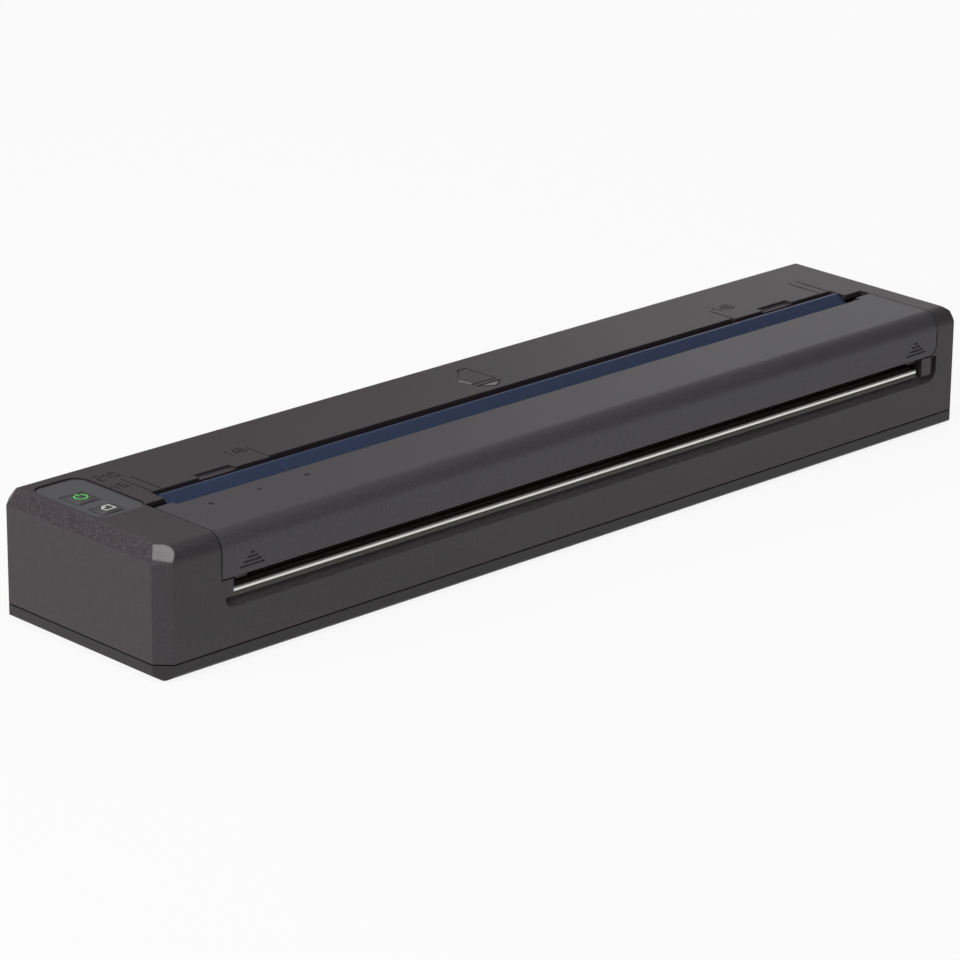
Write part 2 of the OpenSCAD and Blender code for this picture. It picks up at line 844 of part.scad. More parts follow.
// Lugs that hold the outer ends of the hinge pins
module hinge_lugs() {
    half = 1.8;
    for (x = [cover_left - cover_gap - lug_thickness, cover_right + cover_gap])
        block([x, hinge_y - half, hinge_z - lug_drop],
            [x + lug_thickness, hinge_y + half, ceiling + over]);
}

module hinge_pin_holes() {
    for (x = [cover_left - cover_gap - lug_thickness - over, cover_right + cover_gap - over])
        rod(x, hinge_y, hinge_z, lug_thickness + 2 * over, hinge_pin_diameter);
}

// Seat of the button panel and the two button wells
module panel_recess() {
    rounded_block([panel_left, panel_front, panel_low],
        [panel_left + panel_width, panel_front + panel_depth, top + over], panel_radius);
    button_well(power_y, power_depth);
    button_well(feed_y, feed_depth);
}

module button_well(y, depth) {
    fit = button_gap;
    block([button_x - button_width / 2 - fit, y - depth / 2 - fit, ceiling - 2 * over],
        [button_x + button_width / 2 + fit, y + depth / 2 + fit, top + over]);
}

// Posts that carry the button board under the panel
module panel_posts() {
    for (y = [feed_y - feed_depth / 2 - 1.7, power_y + power_depth / 2 + 2.2])
        translate([button_x, y, button_board_z + board_thickness])
            cylinder(h = ceiling + over - button_board_z - board_thickness, d = 2.6);
}

// Engraved lines that show where each sheet's edges go
module width_marks() {
    outer = inlet_rear - inlet_step;
    width_mark(wide_mark, outer, mark_length + 2.7);
    width_mark(sheet_mark, outer, mark_length + 2.7);
    width_mark(half_mark, inlet_rear - over, mark_length);
}

module width_mark(offset, start, length) {
    for (side = [-1, 1])
        block([centre + side * offset - mark_width / 2, start, top - mark_depth],
            [centre + side * offset + mark_width / 2, start + length, top + over]);
}

// Shallow steps in the inlet's rear edge, one towards each end
module edge_recesses() {
    half = 5.2;
    middle = 90;
    for (side = [-1, 1])
        block([centre + side * middle - half, inlet_rear - inlet_step - over, top - 0.6],
            [centre + side * middle + half, inlet_rear - inlet_step + 2.1, top + over]);
}

// Openings in the right end for the ports and the battery door
module end_openings() {
    x = right - wall - over;
    rod(x, power_inlet_y, power_inlet_z, wall + 2 * over, power_inlet_bore + 1);
    data_slot(x, wall + 2 * over, 0.3);
    block([x, door_front - door_gap, door_low - door_gap],
        [right + over, door_rear + door_gap, door_high + door_gap]);
    translate([door_axis_x, door_axis_y, door_low - door_gap - 1])
        cylinder(h = door_height + 2 * door_gap + 2, d = door_pin_diameter);
}

// Slot with round ends, as wide and high as the data port
module data_slot(x, length, fit) {
    height = data_port_height + 2 * fit;
    half = data_port_width / 2 + fit - height / 2;
    block([x, data_port_y - half, data_port_z - height / 2],
        [x + length, data_port_y + half, data_port_z + height / 2]);
    for (side = [-1, 1])
        rod(x, data_port_y + side * half, data_port_z, length, height);
}

module button_panel() {
    fit = 0.15;
    color(panel_colour)
    difference() {
        rounded_block([panel_left + fit, panel_front + fit, panel_low],
            [panel_left + panel_width - fit, panel_front + panel_depth - fit, panel_top],
            panel_radius - fit);
        button_well(power_y, power_depth);
        button_well(feed_y, feed_depth);
    }
}

// Button: a low pillow on a block, with a stem that reaches the switch
module button(y, depth) {
    bevel = 1;
    width = button_width;
    block([button_x - width / 2, y - depth / 2, button_low],
        [button_x + width / 2, y + depth / 2, panel_top]);
    translate([button_x, y, panel_top])
        linear_extrude(height = button_pillow,
            scale = [(width - 2 * bevel) / width, (depth - 2 * bevel) / depth])
            square([width, depth], center = true);
    block([button_x - stem_width / 2, y - stem_width / 2, stem_low],
        [button_x + stem_width / 2, y + stem_width / 2, button_low]);
}

module power_button() {
    color(button_colour)
    button(power_y, power_depth);
}

module feed_button() {
    color(button_colour)
    button(feed_y, feed_depth);
}

module button_board() {
    half = 3.9;
    color(board_colour)
    block([button_x - half, feed_y - feed_depth / 2 - 3.4, button_board_z],
        [button_x + half, power_y + power_depth / 2 + 4, button_board_z + board_thickness]);
}

module button_switches() {
    half = 2.2;
    color(steel_colour)
    for (y = [power_y, feed_y]) {
        block([button_x - half, y - half, button_board_z + board_thickness],
            [button_x + half, y + half, switch_top - 0.5]);
        translate([button_x, y, switch_top - 0.5])
            cylinder(h = 0.5, r = 1.1);
    }
}

// Release cover: top and front walls in one curve, with ears, arms and stiffening ribs
module release_cover() {
    color(cover_colour)
    difference() {
        union() {
            difference() {
                intersection() {
                    case_form(0, cover_bottom, top);
                    cover_outline();
                }
                case_form(cover_wall, 0, top - cover_wall);
            }
            cover_ribs();
            cover_arm(left_arm_x);
            cover_arm(right_arm_x);
        }
        cover_corners();
        lens_holes();
        lift_marks();
    }
}

module cover_outline() {
    block([cover_left, front, cover_bottom], [cover_right, cover_rear, top]);
    for (x = [cover_left, cover_right - ear_width])
        block([x, front, cover_bottom], [x + ear_width, ear_rear, top]);
}

// What the cover's lower right corner loses when it is rounded
module cover_corners() {
    right_corner_waste(cover_right, cover_bottom, cover_corner, 3 * cover_wall);
}

// Space outside a rounded lower right corner, seen from the front
module right_corner_waste(x, z, radius, depth) {
    difference() {
        block([x - radius, front - over, z - over], [x + over, front + depth, z + radius]);
        translate([x - radius, front - 2 * over, z + radius])
            rotate([-90, 0, 0])
                cylinder(h = depth + 3 * over, r = radius);
        block([x - radius - over, front - 2 * over, z + radius],
            [x + 2 * over, front + depth + over, z + radius + 2 * over]);
    }
}

// Ribs under the cover's top, clear of the roller
module cover_ribs() {
    drop = 0.8;
    low = top - cover_wall - drop;
    block([cover_left + 8, cover_rear - 2.2, low],
        [cover_right - 8, cover_rear - 1, top - cover_wall + over / 2]);
    block([cover_left + 9, front + cover_wall - over / 2, cover_bottom + 1],
        [cover_right - 9, front + cover_wall + 0.8, cover_bottom + 2]);
}

// Arm from an ear down to the hinge pin
module cover_arm(x) {
    low = hinge_z - knuckle_radius;
    difference() {
        union() {
            block([x, ear_rear - 3.6, low], [x + arm_width, ear_rear, top - cover_wall + over / 2]);
            block([x, ear_rear - over, low], [x + arm_width, hinge_y, hinge_z + knuckle_radius - 0.6]);
            rod(x, hinge_y, hinge_z, arm_width, 2 * knuckle_radius);
        }
        rod(x - over, hinge_y, hinge_z, arm_width + 2 * over,
            hinge_pin_diameter + 2 * running_gap);
    }
}

// Places of the three indicators
lens_y = front + 16;
function lens_places() = [for (k = [0 : 2]) cover_left + 10.6 + k * 13.7];

module lens_holes() {
    for (x = lens_places())
        translate([x, lens_y, top - cover_wall - over])
            cylinder(h = cover_wall + 2 * over, d = lens_diameter);
}

// Triangles of four engraved stripes that show where to lift
module lift_marks() {
    for (x = [cover_left + 8.3, cover_right - 7.5])
        for (k = [0 : 3])
            let (half = 0.6 + k * 0.95)
            block([x - half, front - over, top - 6.25 - k * 0.9],
                [x + half, front + mark_depth, top - 5.7 - k * 0.9]);
}

// Latch tongues under the front corners of the cover
module cover_latches() {
    color(dark_colour)
    for (x = [cover_left + 5.2, cover_right - 8.4])
        difference() {
            block([x, front + cover_wall, cover_bottom - 1.6], [x + 3.2, front + 5, top - front_radius]);
            block([x - over, front + cover_wall + 1.4, cover_bottom],
                [x + 3.2 + over, front + 5 + over, top - front_radius - 1.4]);
        }
}

module cover_lenses() {
    color([0.5, 0.55, 0.5])
    for (x = lens_places())
        translate([x, lens_y, top - cover_wall])
            cylinder(h = cover_wall - 0.15, d = lens_diameter);
}

module lens_board() {
    color(board_colour)
    block([cover_left + 7, lens_y - 2.8, top - cover_wall - 0.6],
        [cover_left + 42, lens_y + 2.2, top - cover_wall]);
}

module hinge_pins() {
    length = lug_thickness + cover_gap + arm_width + 0.3;
    color(steel_colour) {
        rod(cover_left - cover_gap - lug_thickness, hinge_y, hinge_z, length + cover_gap,
            hinge_pin_diameter);
        rod(cover_right - cover_gap - arm_width - 0.3, hinge_y, hinge_z, length + cover_gap,
            hinge_pin_diameter);
    }
}

// Blue guide strip: a hollow wedge whose rear face is the front wall of the inlet
module paper_guide() {
    crown_y = strip_rear - strip_edge_radius;
    crown_z = top - strip_edge_radius;
    touch_y = crown_y - strip_edge_radius * sin(strip_slope);
    touch_z = crown_z + strip_edge_radius * cos(strip_slope);
    nose_y = platen_y + platen_radius + 2;
    nose_z = touch_z - (touch_y - nose_y) * tan(strip_slope);
    low_z = platen_z - 1.7;
    color(strip_colour)
    difference() {
        union() {
            along_x(strip_left)
                linear_extrude(height = strip_length)
                    polygon([
                        [strip_rear, crown_z], [strip_rear, low_z + 5], [strip_rear - 2.5, low_z + 1.4],
                        [nose_y, low_z], [nose_y, nose_z], [touch_y, touch_z], [crown_y, crown_z]
                    ]);
            rod(strip_left, crown_y, crown_z, strip_length, 2 * strip_edge_radius);
        }
        strip_hollow(nose_y, nose_z, low_z);
        for (side = [-1, 1])
            block([centre + side * half_mark - 0.15, nose_y - over, nose_z - over],
                [centre + side * half_mark + 0.15, strip_rear + over, nose_z + over / 2]);
        strip_ends(strip_left, nose_y);
        strip_ends(strip_right, nose_y);
    }
}

// Hollow under the strip's slope, open to the front between upright ribs
module strip_hollow(nose_y, nose_z, low_z) {
    bays = 10;
    rib = 1.4;
    pitch = (strip_length - rib) / bays;
    rise = tan(strip_slope);
    roof = nose_z - strip_wall / cos(strip_slope);
    inner_y = strip_rear - strip_wall;
    for (k = [0 : bays - 1])
        along_x(strip_left + rib + k * pitch)
            linear_extrude(height = pitch - rib)
                polygon([
                    [nose_y - over, low_z + strip_wall], [nose_y + 1, low_z + strip_wall],
                    [inner_y - 2.5, low_z + strip_wall + 1.6], [inner_y, low_z + 5.4],
                    [inner_y, roof + (inner_y - 2.4 - nose_y) * rise],
                    [nose_y - over, roof - over * rise]
                ]);
}

// Slanted cut across a rear corner of the strip
module strip_ends(x, nose_y) {
    translate([x, strip_rear, 0])
        rotate([0, 0, x < centre ? 24 : -24])
            block([-5, -0.9, 0], [5, 5, top + over]);
}

// Dark guide behind and below the strip: the rear wall of the paper's way to the roller
module inlet_guide() {
    skin = 1.2;
    gap = 1.9;
    low_z = platen_z - 1.7;
    rear_y = inlet_rear + 0.1;
    color(dark_colour) {
        along_x(centre - guide_half)
            linear_extrude(height = 2 * guide_half)
                polygon([
                    [rear_y, ceiling], [rear_y, low_z + 4.6], [rear_y - 3.4, low_z - 0.7],
                    [head_front + 12.9, low_z - gap - 0.4], [head_front + 12.9, low_z - gap - 0.4 - skin],
                    [rear_y - 2.8, low_z - 0.7 - skin], [rear_y + skin, low_z + 4.3],
                    [rear_y + skin, ceiling]
                ]);
        for (x = [centre - guide_half + 6, centre, centre + guide_half - 6])
            block([x - 1.2, rear_y - 1.4, plate_top], [x + 1.2, rear_y + skin, low_z + 2.2]);
    }
}

// Dark guide under the leaving sheet: a ramp behind the tear bar, with shallow windows
module exit_guide() {
    back = head_front - 0.5;
    crest = head_face + 1.3;
    toe = crest - 0.85;
    shelf = head_face + 0.3;
    color(dark_colour)
    difference() {
        union() {
            along_x(centre - frame_half + 0.2)
                linear_extrude(height = exit_right - 0.3 - centre + frame_half - 0.2)
                    polygon([
                        [front + 1.3, head_face + 0.1], [front + 1.3, toe], [front + 3.9, crest],
                        [front + 4.3, crest - 0.1], [front + 4.3, shelf], [back, shelf],
                        [back, shelf - 0.9], [front + 3.2, shelf - 0.9],
                        [front + 3.2, head_face + 0.1]
                    ]);
            block([exit_left + 3, front + 3.2, plate_top], [exit_right - 3, front + 4.4, shelf - 0.1]);
        }
        for (k = [-2 : 2])
            exit_window(centre + k * (paper_width - 6) / 5, toe + 0.15);
    }
}

// Outline of a shallow window in the exit guide's ramp
module exit_window(x, low) {
    half = 9;
    line = 0.4;
    difference() {
        block([x - half, front + 1.9, low], [x + half, front + 3.6, head_face + 3]);
        block([x - half + line, front + 1.9 + line, low - over],
            [x + half - line, front + 3.6 - line, head_face + 4]);
    }
}

// Bright tear bar: a bent strip with an upright edge
module tear_bar() {
    low = exit_bottom + 0.15;
    edge = head_face + 1.75;
    color(steel_colour)
    along_x(exit_left + 0.2)
        linear_extrude(height = exit_right - exit_left - 1.8)
            polygon([
                [front + 0.5, low], [front + 0.5, edge - 0.3], [front + 0.8, edge],
                [front + 1.2, edge - 0.3], [front + 1.2, low + 0.35], [front + 3, low + 0.35],
                [front + 3, low]
            ]);
}

// Steel plate that the mechanism stands on
module mechanism_plate() {
    color(steel_colour)
    difference() {
        block([left_frame_x, front + 3.2, plate_height], [right_frame_x + frame_thickness, front + 31, plate_top]);
        for (place = frame_screw_places())
            translate([place[0], place[1], plate_height - over])
                cylinder(h = plate_thickness + 2 * over, d = frame_screw_diameter);
        for (k = [0 : 3])
            let (x = centre + (k - 2) * paper_width / 4 + 8)
            block([x, front + 24.6, plate_height - over],
                [x + paper_width / 4 - 20, front + 27.6, plate_top + over]);
        ribbon_block(0.5, plate_height - over, plate_top + over);
    }
}

// Left frame: carries the roller, the gear posts and the motor
module left_side_frame() {
    color(steel_colour)
    difference() {
        along_x(left_frame_x)
            linear_extrude(height = frame_thickness)
                polygon([
                    [front + 4, plate_top], [front + 31.3, plate_top], [front + 34, plate_top - 3],
                    [rear - 3, plate_top - 3], [rear - 3, 23], [rear - 6, 26],
                    [hinge_y + 7, 26], [hinge_y, 24.6], [platen_y + 6, 24.6],
                    [platen_y + 6, 25.6], [platen_y - 5.6, 25.6], [front + 4, 21]
                ]);
        bush_slot(left_frame_x);
        rod(left_frame_x - over, pivot_y, pivot_z, frame_thickness + 2 * over, pivot_rod_diameter);
        rod(left_frame_x - over, idler_y, idler_z, frame_thickness + 2 * over, post_diameter);
        rod(left_frame_x - over, compound_y, compound_z, frame_thickness + 2 * over, post_diameter);
        rod(left_frame_x - over, motor_y, motor_z, frame_thickness + 2 * over,
            motor_boss_diameter + 2 * running_gap);
    }
}

module right_side_frame() {
    color(steel_colour)
    difference() {
        along_x(right_frame_x)
            linear_extrude(height = frame_thickness)
                polygon([
                    [front + 4, plate_top], [front + 30.6, plate_top], [front + 30.6, 16],
                    [hinge_y, 24.6], [platen_y + 6, 24.6], [platen_y + 6, 25.6],
                    [platen_y - 5.6, 25.6], [front + 4, 21]
                ]);
        bush_slot(right_frame_x);
        rod(right_frame_x - over, pivot_y, pivot_z, frame_thickness + 2 * over, pivot_rod_diameter);
    }
}

// Open slot that takes a bush from above
module bush_slot(x) {
    half = bush_diameter / 2 + running_gap;
    rod(x - over, platen_y, platen_z, frame_thickness + 2 * over, 2 * half);
    block([x - over, platen_y - half, platen_z],
        [x + frame_thickness + over, platen_y + half, top]);
}

module frame_screws() {
    color(steel_colour)
    for (place = frame_screw_places())
        translate([place[0], place[1], plate_top])
            rotate([180, 0, 0])
                difference() {
                    union() {
                        translate([0, 0, -1])
                            cylinder(h = 1, d = 3);
                        cylinder(h = 4.4, d = frame_screw_diameter);
                    }
                    translate([0, 0, -1])
                        cross_recess(1.6, 0.4);
                }
}

module platen_rubber() {
    color(rubber_colour)
    difference() {
        rod(centre - platen_half, platen_y, platen_z, 2 * platen_half, 2 * platen_radius);
        rod(centre - platen_half - over, platen_y, platen_z, 2 * (platen_half + over), core_diameter);
    }
}

module platen_shaft() {
    journal_start = left_frame_x - 0.6;
    journal_end = right_frame_x + frame_thickness + 0.6;
    color(steel_colour) {
        rod(centre - platen_half, platen_y, platen_z, 2 * platen_half, core_diameter);
        rod(journal_start, platen_y, platen_z, journal_end - journal_start, journal_diameter);
        rod(inner_gear_x - 0.4, platen_y, platen_z, journal_start - inner_gear_x + 1,
            gear_seat_diameter);
    }
}

// Gear wheel with a hub and a bore, between two planes
module gear(x, y, z, teeth, phase, bore, hub) {
    difference() {
        union() {
            along_x(x, y, z)
                linear_extrude(height = gear_width)
                    polygon(gear_outline(teeth, phase));
            rod(x, y, z, gear_width + hub, bore + 2.2);
        }
        rod(x - over, y, z, gear_width + hub + 2 * over, bore);
    }
}

module platen_gear() {
    color(gear_colour)
    gear(inner_gear_x, platen_y, platen_z, platen_teeth, platen_phase, gear_seat_diameter, 0.4);
}

// Bushes that seat in the frames' open slots
module platen_bushes() {
    bore = journal_diameter + 2 * running_gap;
    color(gear_colour)
    for (x = [left_frame_x, right_frame_x])
        difference() {
            rod(x, platen_y, platen_z, frame_thickness, bush_diameter);
            rod(x - over, platen_y, platen_z, frame_thickness + 2 * over, bore);
        }
}

module idler_gear() {
    color(gear_colour)
    gear(inner_gear_x, idler_y, idler_z, idler_teeth, idler_phase,
        post_diameter + 2 * running_gap, 0.8);
}

// Compound gear: the large wheel meets the pinion, the small one meets the idler
module compound_gear() {
    bore = post_diameter + 2 * running_gap;
    color(gear_colour) {
        gear(outer_gear_x, compound_y, compound_z, large_teeth, large_phase, bore, 0);
        difference() {
            rod(web_x, compound_y, compound_z, inner_gear_x - web_x, 2 * (small_pitch - dedendum));
            rod(web_x - over, compound_y, compound_z, inner_gear_x - web_x + 2 * over, bore);
        }
        gear(inner_gear_x, compound_y, compound_z, small_teeth, small_phase, bore, 0.8);
    }
}

// Steel posts riveted into the left frame
module gear_posts() {
    color(steel_colour) {
        gear_post(idler_y, idler_z, inner_gear_x);
        gear_post(compound_y, compound_z, outer_gear_x);
    }
}

module gear_post(y, z, face) {
    rod(face - 1, y, z, left_frame_x + frame_thickness - face + 1, post_diameter);
}

// Clips that keep the gears on their posts
module gear_clips() {
    color(steel_colour) {
        gear_clip(idler_y, idler_z, inner_gear_x);
        gear_clip(compound_y, compound_z, outer_gear_x);
    }
}

module gear_clip(y, z, face) {
    difference() {
        rod(face - 0.6, y, z, 0.4, post_diameter + 2.4);
        rod(face - 1, y, z, 1.2, post_diameter);
    }
}

module motor_body() {
    color([0.6, 0.6, 0.6])
    difference() {
        union() {
            rod(motor_x, motor_y, motor_z, motor_length, motor_diameter);
            rod(left_frame_x, motor_y, motor_z, frame_thickness, motor_boss_diameter);
        }
        rod(left_frame_x - over, motor_y, motor_z, motor_length / 2, 2 + 2 * running_gap);
    }
}

module motor_shaft() {
    color(steel_colour)
    rod(outer_gear_x - 0.3, motor_y, motor_z, left_frame_x + 8 - outer_gear_x, 2);
}

module motor_pinion() {
    color(brass_colour)
    gear(outer_gear_x, motor_y, motor_z, pinion_teeth, pinion_phase, 2, 0);
}

// Ceramic plate with the heater line under the roller
module thermal_head() {
    color([0.9, 0.88, 0.82])
    block([centre - head_half, head_front, heat_sink_high], [centre + head_half, head_front + 11.6, head_face]);
}

// Aluminium bar behind the head plate, hinged at its rear
module heat_sink() {
    knuckle = 4;
    color([0.7, 0.71, 0.73])
    difference() {
        union() {
            block([centre - head_half, head_front, heat_sink_low],
                [centre + head_half, sink_rear, heat_sink_high]);
            for (x = [centre - head_half, centre + head_half - knuckle, centre - knuckle / 2]) {
                block([x, sink_rear - over, heat_sink_low], [x + knuckle, pivot_y, pivot_z + 1.6]);
                rod(x, pivot_y, pivot_z, knuckle, 3.2);
            }
        }
        rod(centre - head_half - over, pivot_y, pivot_z, 2 * (head_half + over),
            pivot_rod_diameter + 2 * running_gap);
        for (k = [-4 : 4])
            block([centre + k * 24 - 9, head_front + 12.2, heat_sink_high - 1],
                [centre + k * 24 + 9, sink_rear - 0.8, heat_sink_high + over]);
    }
}

module head_pivot_rod() {
    color(steel_colour)
    rod(left_frame_x, pivot_y, pivot_z, right_frame_x + frame_thickness - left_frame_x, pivot_rod_diameter);
}

// Coil springs that push the head up against the roller
spring_y = platen_y - 0.6;
function spring_places() = [for (k = [-1.5 : 1 : 1.5]) centre + k * 58];

module head_springs() {
    color(steel_colour)
    for (x = spring_places())
        translate([x, spring_y, plate_top + spring_wire / 2 + 0.05])
            coil(spring_radius, spring_wire, spring_turns,
                heat_sink_low - plate_top - spring_wire - 0.1);
}

// Wire swept along a helix, five sides round
module coil(radius, wire, turns, height) {
    sides = 5;
    steps = 12 * turns;
    points = [for (k = [0 : steps], j = [0 : sides - 1])
        let (angle = 360 * turns * k / steps)
        let (spread = radius + wire / 2 * cos(360 * j / sides))
        [spread * cos(angle), spread * sin(angle),
            height * k / steps + wire / 2 * sin(360 * j / sides)]];
    sleeve = [for (k = [0 : steps - 1], j = [0 : sides - 1], half = [0, 1])
        let (here = k * sides + j)
        let (beside = k * sides + (j + 1) % sides)
        half == 0 ? [here, here + sides, beside] : [beside, here + sides, beside + sides]];
    first = [for (j = [0 : sides - 1]) j];
    last = [for (j = [sides - 1 : -1 : 0]) steps * sides + j];
    polyhedron(points, concat(sleeve, [first, last]), convexity = 10);
}

// Flat ribbon from the head down to the main board
module head_ribbon() {
    color([0.75, 0.45, 0.2])
    ribbon_block(0, main_board_z() + board_thickness, heat_sink_low);
}

module ribbon_block(fit, low, high) {
    half = 20;
    y = front + 20;
    block([centre - half - fit, y - fit, low], [centre + half + fit, y + 0.3 + fit, high]);
}

// Optical sensor under the inlet guide
module paper_sensor() {
    x = centre - 62;
    color(dark_colour)
    block([x - 3, front + 28, plate_top], [x + 3, front + 29.6, head_face]);
}

// Switch that feels whether the cover is shut
module cover_switch() {
    x = right_frame_x + frame_thickness;
    color(dark_colour) {
        block([x, platen_y + 5, 18], [x + 1.6, platen_y + 11, 23]);
        block([x + 0.3, platen_y + 6, 23], [x + 1.3, platen_y + 7.6, 24.4]);
    }
}

// Main board under the mechanism plate, with its parts
module main_board() {
    z = main_board_z();
    chip_top = z + board_thickness + 0.9;
    color(board_colour) {
        block([main_board_left(), front + 10, z],
            [main_board_right(), front + 28, z + board_thickness]);
        for (chip = [[0.13, 5, 9], [0.29, 6, 7], [0.77, 6, 9], [0.9, 4, 6]])
            let (x = main_board_left() + chip[0] * (main_board_right() - main_board_left()))
            block([x - chip[1], front + 12, z + board_thickness - over],
                [x + chip[1], front + 12 + chip[2], chip_top]);
    }
}

// Slide-in pack of three cells
module battery_pack() {
    color([0.16, 0.16, 0.17])
    difference() {
        along_x(battery_left)
            rounded_bar(battery_front, battery_rest, battery_depth, battery_height, battery_length);
        for (k = [0 : cell_count - 1])
            block([battery_left + 1.2 + k * cell_length, battery_front - over, battery_rest + 4],
                [battery_left + 0.2 + (k + 1) * cell_length, battery_front + 0.4,
                    battery_rest + battery_height - 4]);
    }
}

// Bar along X with rounded long edges
module rounded_bar(y, z, depth, height, length) {
    r = battery_round;
    translate([y + r, z, 0])
        cube([depth - 2 * r, height, length]);
    translate([y, z + r, 0])
        cube([depth, height - 2 * r, length]);
    for (u = [y + r, y + depth - r], v = [z + r, z + height - r])
        translate([u, v, 0])
            cylinder(h = length, r = r);
}

// Spring contacts behind the battery pack's inner end
module battery_contacts() {
    middle = battery_front + battery_depth / 2;
    color(brass_colour) {
        block([battery_left - 3.4, middle - 6, floor_top], [battery_left - 2, middle + 6, battery_rest + 12]);
        for (k = [-1 : 1])
            block([battery_left - 2.2, middle + k * 4 - 1, battery_rest + 5],
                [battery_left - 0.3, middle + k * 4 + 1, battery_rest + 9]);
    }
}

// Door over the battery bay, hinged at its front edge
module battery_door() {
    rib = 1.2;
    face_x = right - door_thickness;
    color(case_colour)
    difference() {
        union() {
            block([face_x, door_axis_y, door_low], [right, door_rear, door_high]);
            translate([door_axis_x, door_axis_y, door_low])
                cylinder(h = door_height, r = door_barrel_radius);
            for (z = [door_low + 3, door_high - 3 - rib])
                block([battery_right + 0.3, battery_front + 3, z], [face_x + over, battery_rear - 3, z + rib]);
            block([face_x - 1.2, door_rear - 2.4, door_low + 7], [face_x + over, door_rear - 0.8, door_low + 12]);
        }
        translate([door_axis_x, door_axis_y, door_low - over])
            cylinder(h = door_height + 2 * over, d = door_pin_diameter + 2 * running_gap);
        block([right - 0.5, door_rear - 3.4, door_low + 6.4], [right + over, door_rear - 1.4, door_low + 13.4]);
    }
}

module door_pin() {
    color(steel_colour)
    translate([door_axis_x, door_axis_y, door_low - door_gap - 1])
        cylinder(h = door_height + 2 * door_gap + 2, d = door_pin_diameter);
}

// Small board that carries both ports
module port_board() {
    color(board_colour)
    block([port_board_x, port_board_front, port_board_z], [port_right - 0.4, port_board_rear, port_floor]);
}

module power_inlet() {
    half = power_inlet_half;
    color(dark_colour)
    difference() {
        block([port_left, power_inlet_y - half, port_floor],
            [port_right, power_inlet_y + half, power_inlet_z + half]);
        difference() {
            rod(port_left + 1.4, power_inlet_y, power_inlet_z, port_depth, power_inlet_bore);
            rod(port_left, power_inlet_y, power_inlet_z, port_depth - 1, power_pin_diameter);
        }
    }
}

module data_port() {
    shell = 0.35;
    tongue_half = 3.3;
    color(steel_colour)
    difference() {
        data_slot(port_left + 1, port_depth - 1, 0);
        difference() {
            data_slot(port_left + 2.2, port_depth, -shell);
            block([port_left, data_port_y - tongue_half, data_port_z - 0.35],
                [port_right - 0.6, data_port_y + tongue_half, data_port_z + 0.35]);
        }
    }
}

base_tray();
rubber_feet();
case_screws();
top_case();
button_panel();
power_button();
feed_button();
button_board();
button_switches();
release_cover();
cover_latches();
cover_lenses();
lens_board();
hinge_pins();
paper_guide();
inlet_guide();
exit_guide();
tear_bar();
mechanism_plate();
left_side_frame();
right_side_frame();
frame_screws();
platen_rubber();
platen_shaft();
platen_gear();
platen_bushes();
idler_gear();
compound_gear();
gear_posts();
gear_clips();
motor_body();
motor_shaft();
motor_pinion();
thermal_head();
heat_sink();
head_pivot_rod();
head_springs();
head_ribbon();
paper_sensor();
cover_switch();
main_board();
battery_pack();
battery_contacts();
battery_door();
door_pin();
port_board();
power_inlet();
data_port();
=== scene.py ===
import json
import math
import bpy
import bmesh
from mathutils import Matrix, Vector

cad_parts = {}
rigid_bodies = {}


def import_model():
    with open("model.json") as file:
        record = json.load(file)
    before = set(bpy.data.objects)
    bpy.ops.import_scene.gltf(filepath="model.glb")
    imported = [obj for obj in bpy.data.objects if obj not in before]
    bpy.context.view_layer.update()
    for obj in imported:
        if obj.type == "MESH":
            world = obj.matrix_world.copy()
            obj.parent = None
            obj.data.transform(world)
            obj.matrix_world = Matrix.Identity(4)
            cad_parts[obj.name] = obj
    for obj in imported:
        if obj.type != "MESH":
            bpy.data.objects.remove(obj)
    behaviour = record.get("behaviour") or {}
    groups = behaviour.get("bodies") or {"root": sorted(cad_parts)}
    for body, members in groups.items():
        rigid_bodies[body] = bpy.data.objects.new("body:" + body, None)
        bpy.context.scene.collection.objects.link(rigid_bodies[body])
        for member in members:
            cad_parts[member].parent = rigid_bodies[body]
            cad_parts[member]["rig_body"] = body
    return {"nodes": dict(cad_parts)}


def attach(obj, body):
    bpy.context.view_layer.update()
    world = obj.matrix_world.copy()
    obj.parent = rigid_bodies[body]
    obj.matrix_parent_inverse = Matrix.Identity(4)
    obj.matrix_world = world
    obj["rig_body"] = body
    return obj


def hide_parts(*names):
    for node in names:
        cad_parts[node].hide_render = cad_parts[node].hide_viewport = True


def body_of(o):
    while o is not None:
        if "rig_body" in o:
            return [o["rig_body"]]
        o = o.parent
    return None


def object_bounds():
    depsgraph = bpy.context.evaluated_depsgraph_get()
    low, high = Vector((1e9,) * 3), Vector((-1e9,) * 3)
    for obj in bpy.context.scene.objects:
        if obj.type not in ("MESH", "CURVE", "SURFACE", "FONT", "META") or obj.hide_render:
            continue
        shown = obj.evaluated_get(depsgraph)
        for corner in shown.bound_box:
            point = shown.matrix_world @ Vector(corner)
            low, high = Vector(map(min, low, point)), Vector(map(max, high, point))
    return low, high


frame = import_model()
cadLow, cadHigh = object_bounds()
mm = 0.001
print("stage: frame loaded,", len(frame["nodes"]), "nodes")


cameraSetup = {
    "place": (-681.94, -698.07, 357.17),  # mm, in front of the left front corner
    "turn": 44.04,  # degrees that it looks to the right of straight ahead
    "dip": 19.98,  # degrees that it looks down
    "roll": 0.61,  # degrees
    "lens": 167.49,  # mm
    "sensor": 36.0,  # mm wide
    "shift": (-0.00692, 0.0245),  # of the picture's width
    "clip": (0.05, 20.0),  # m
}


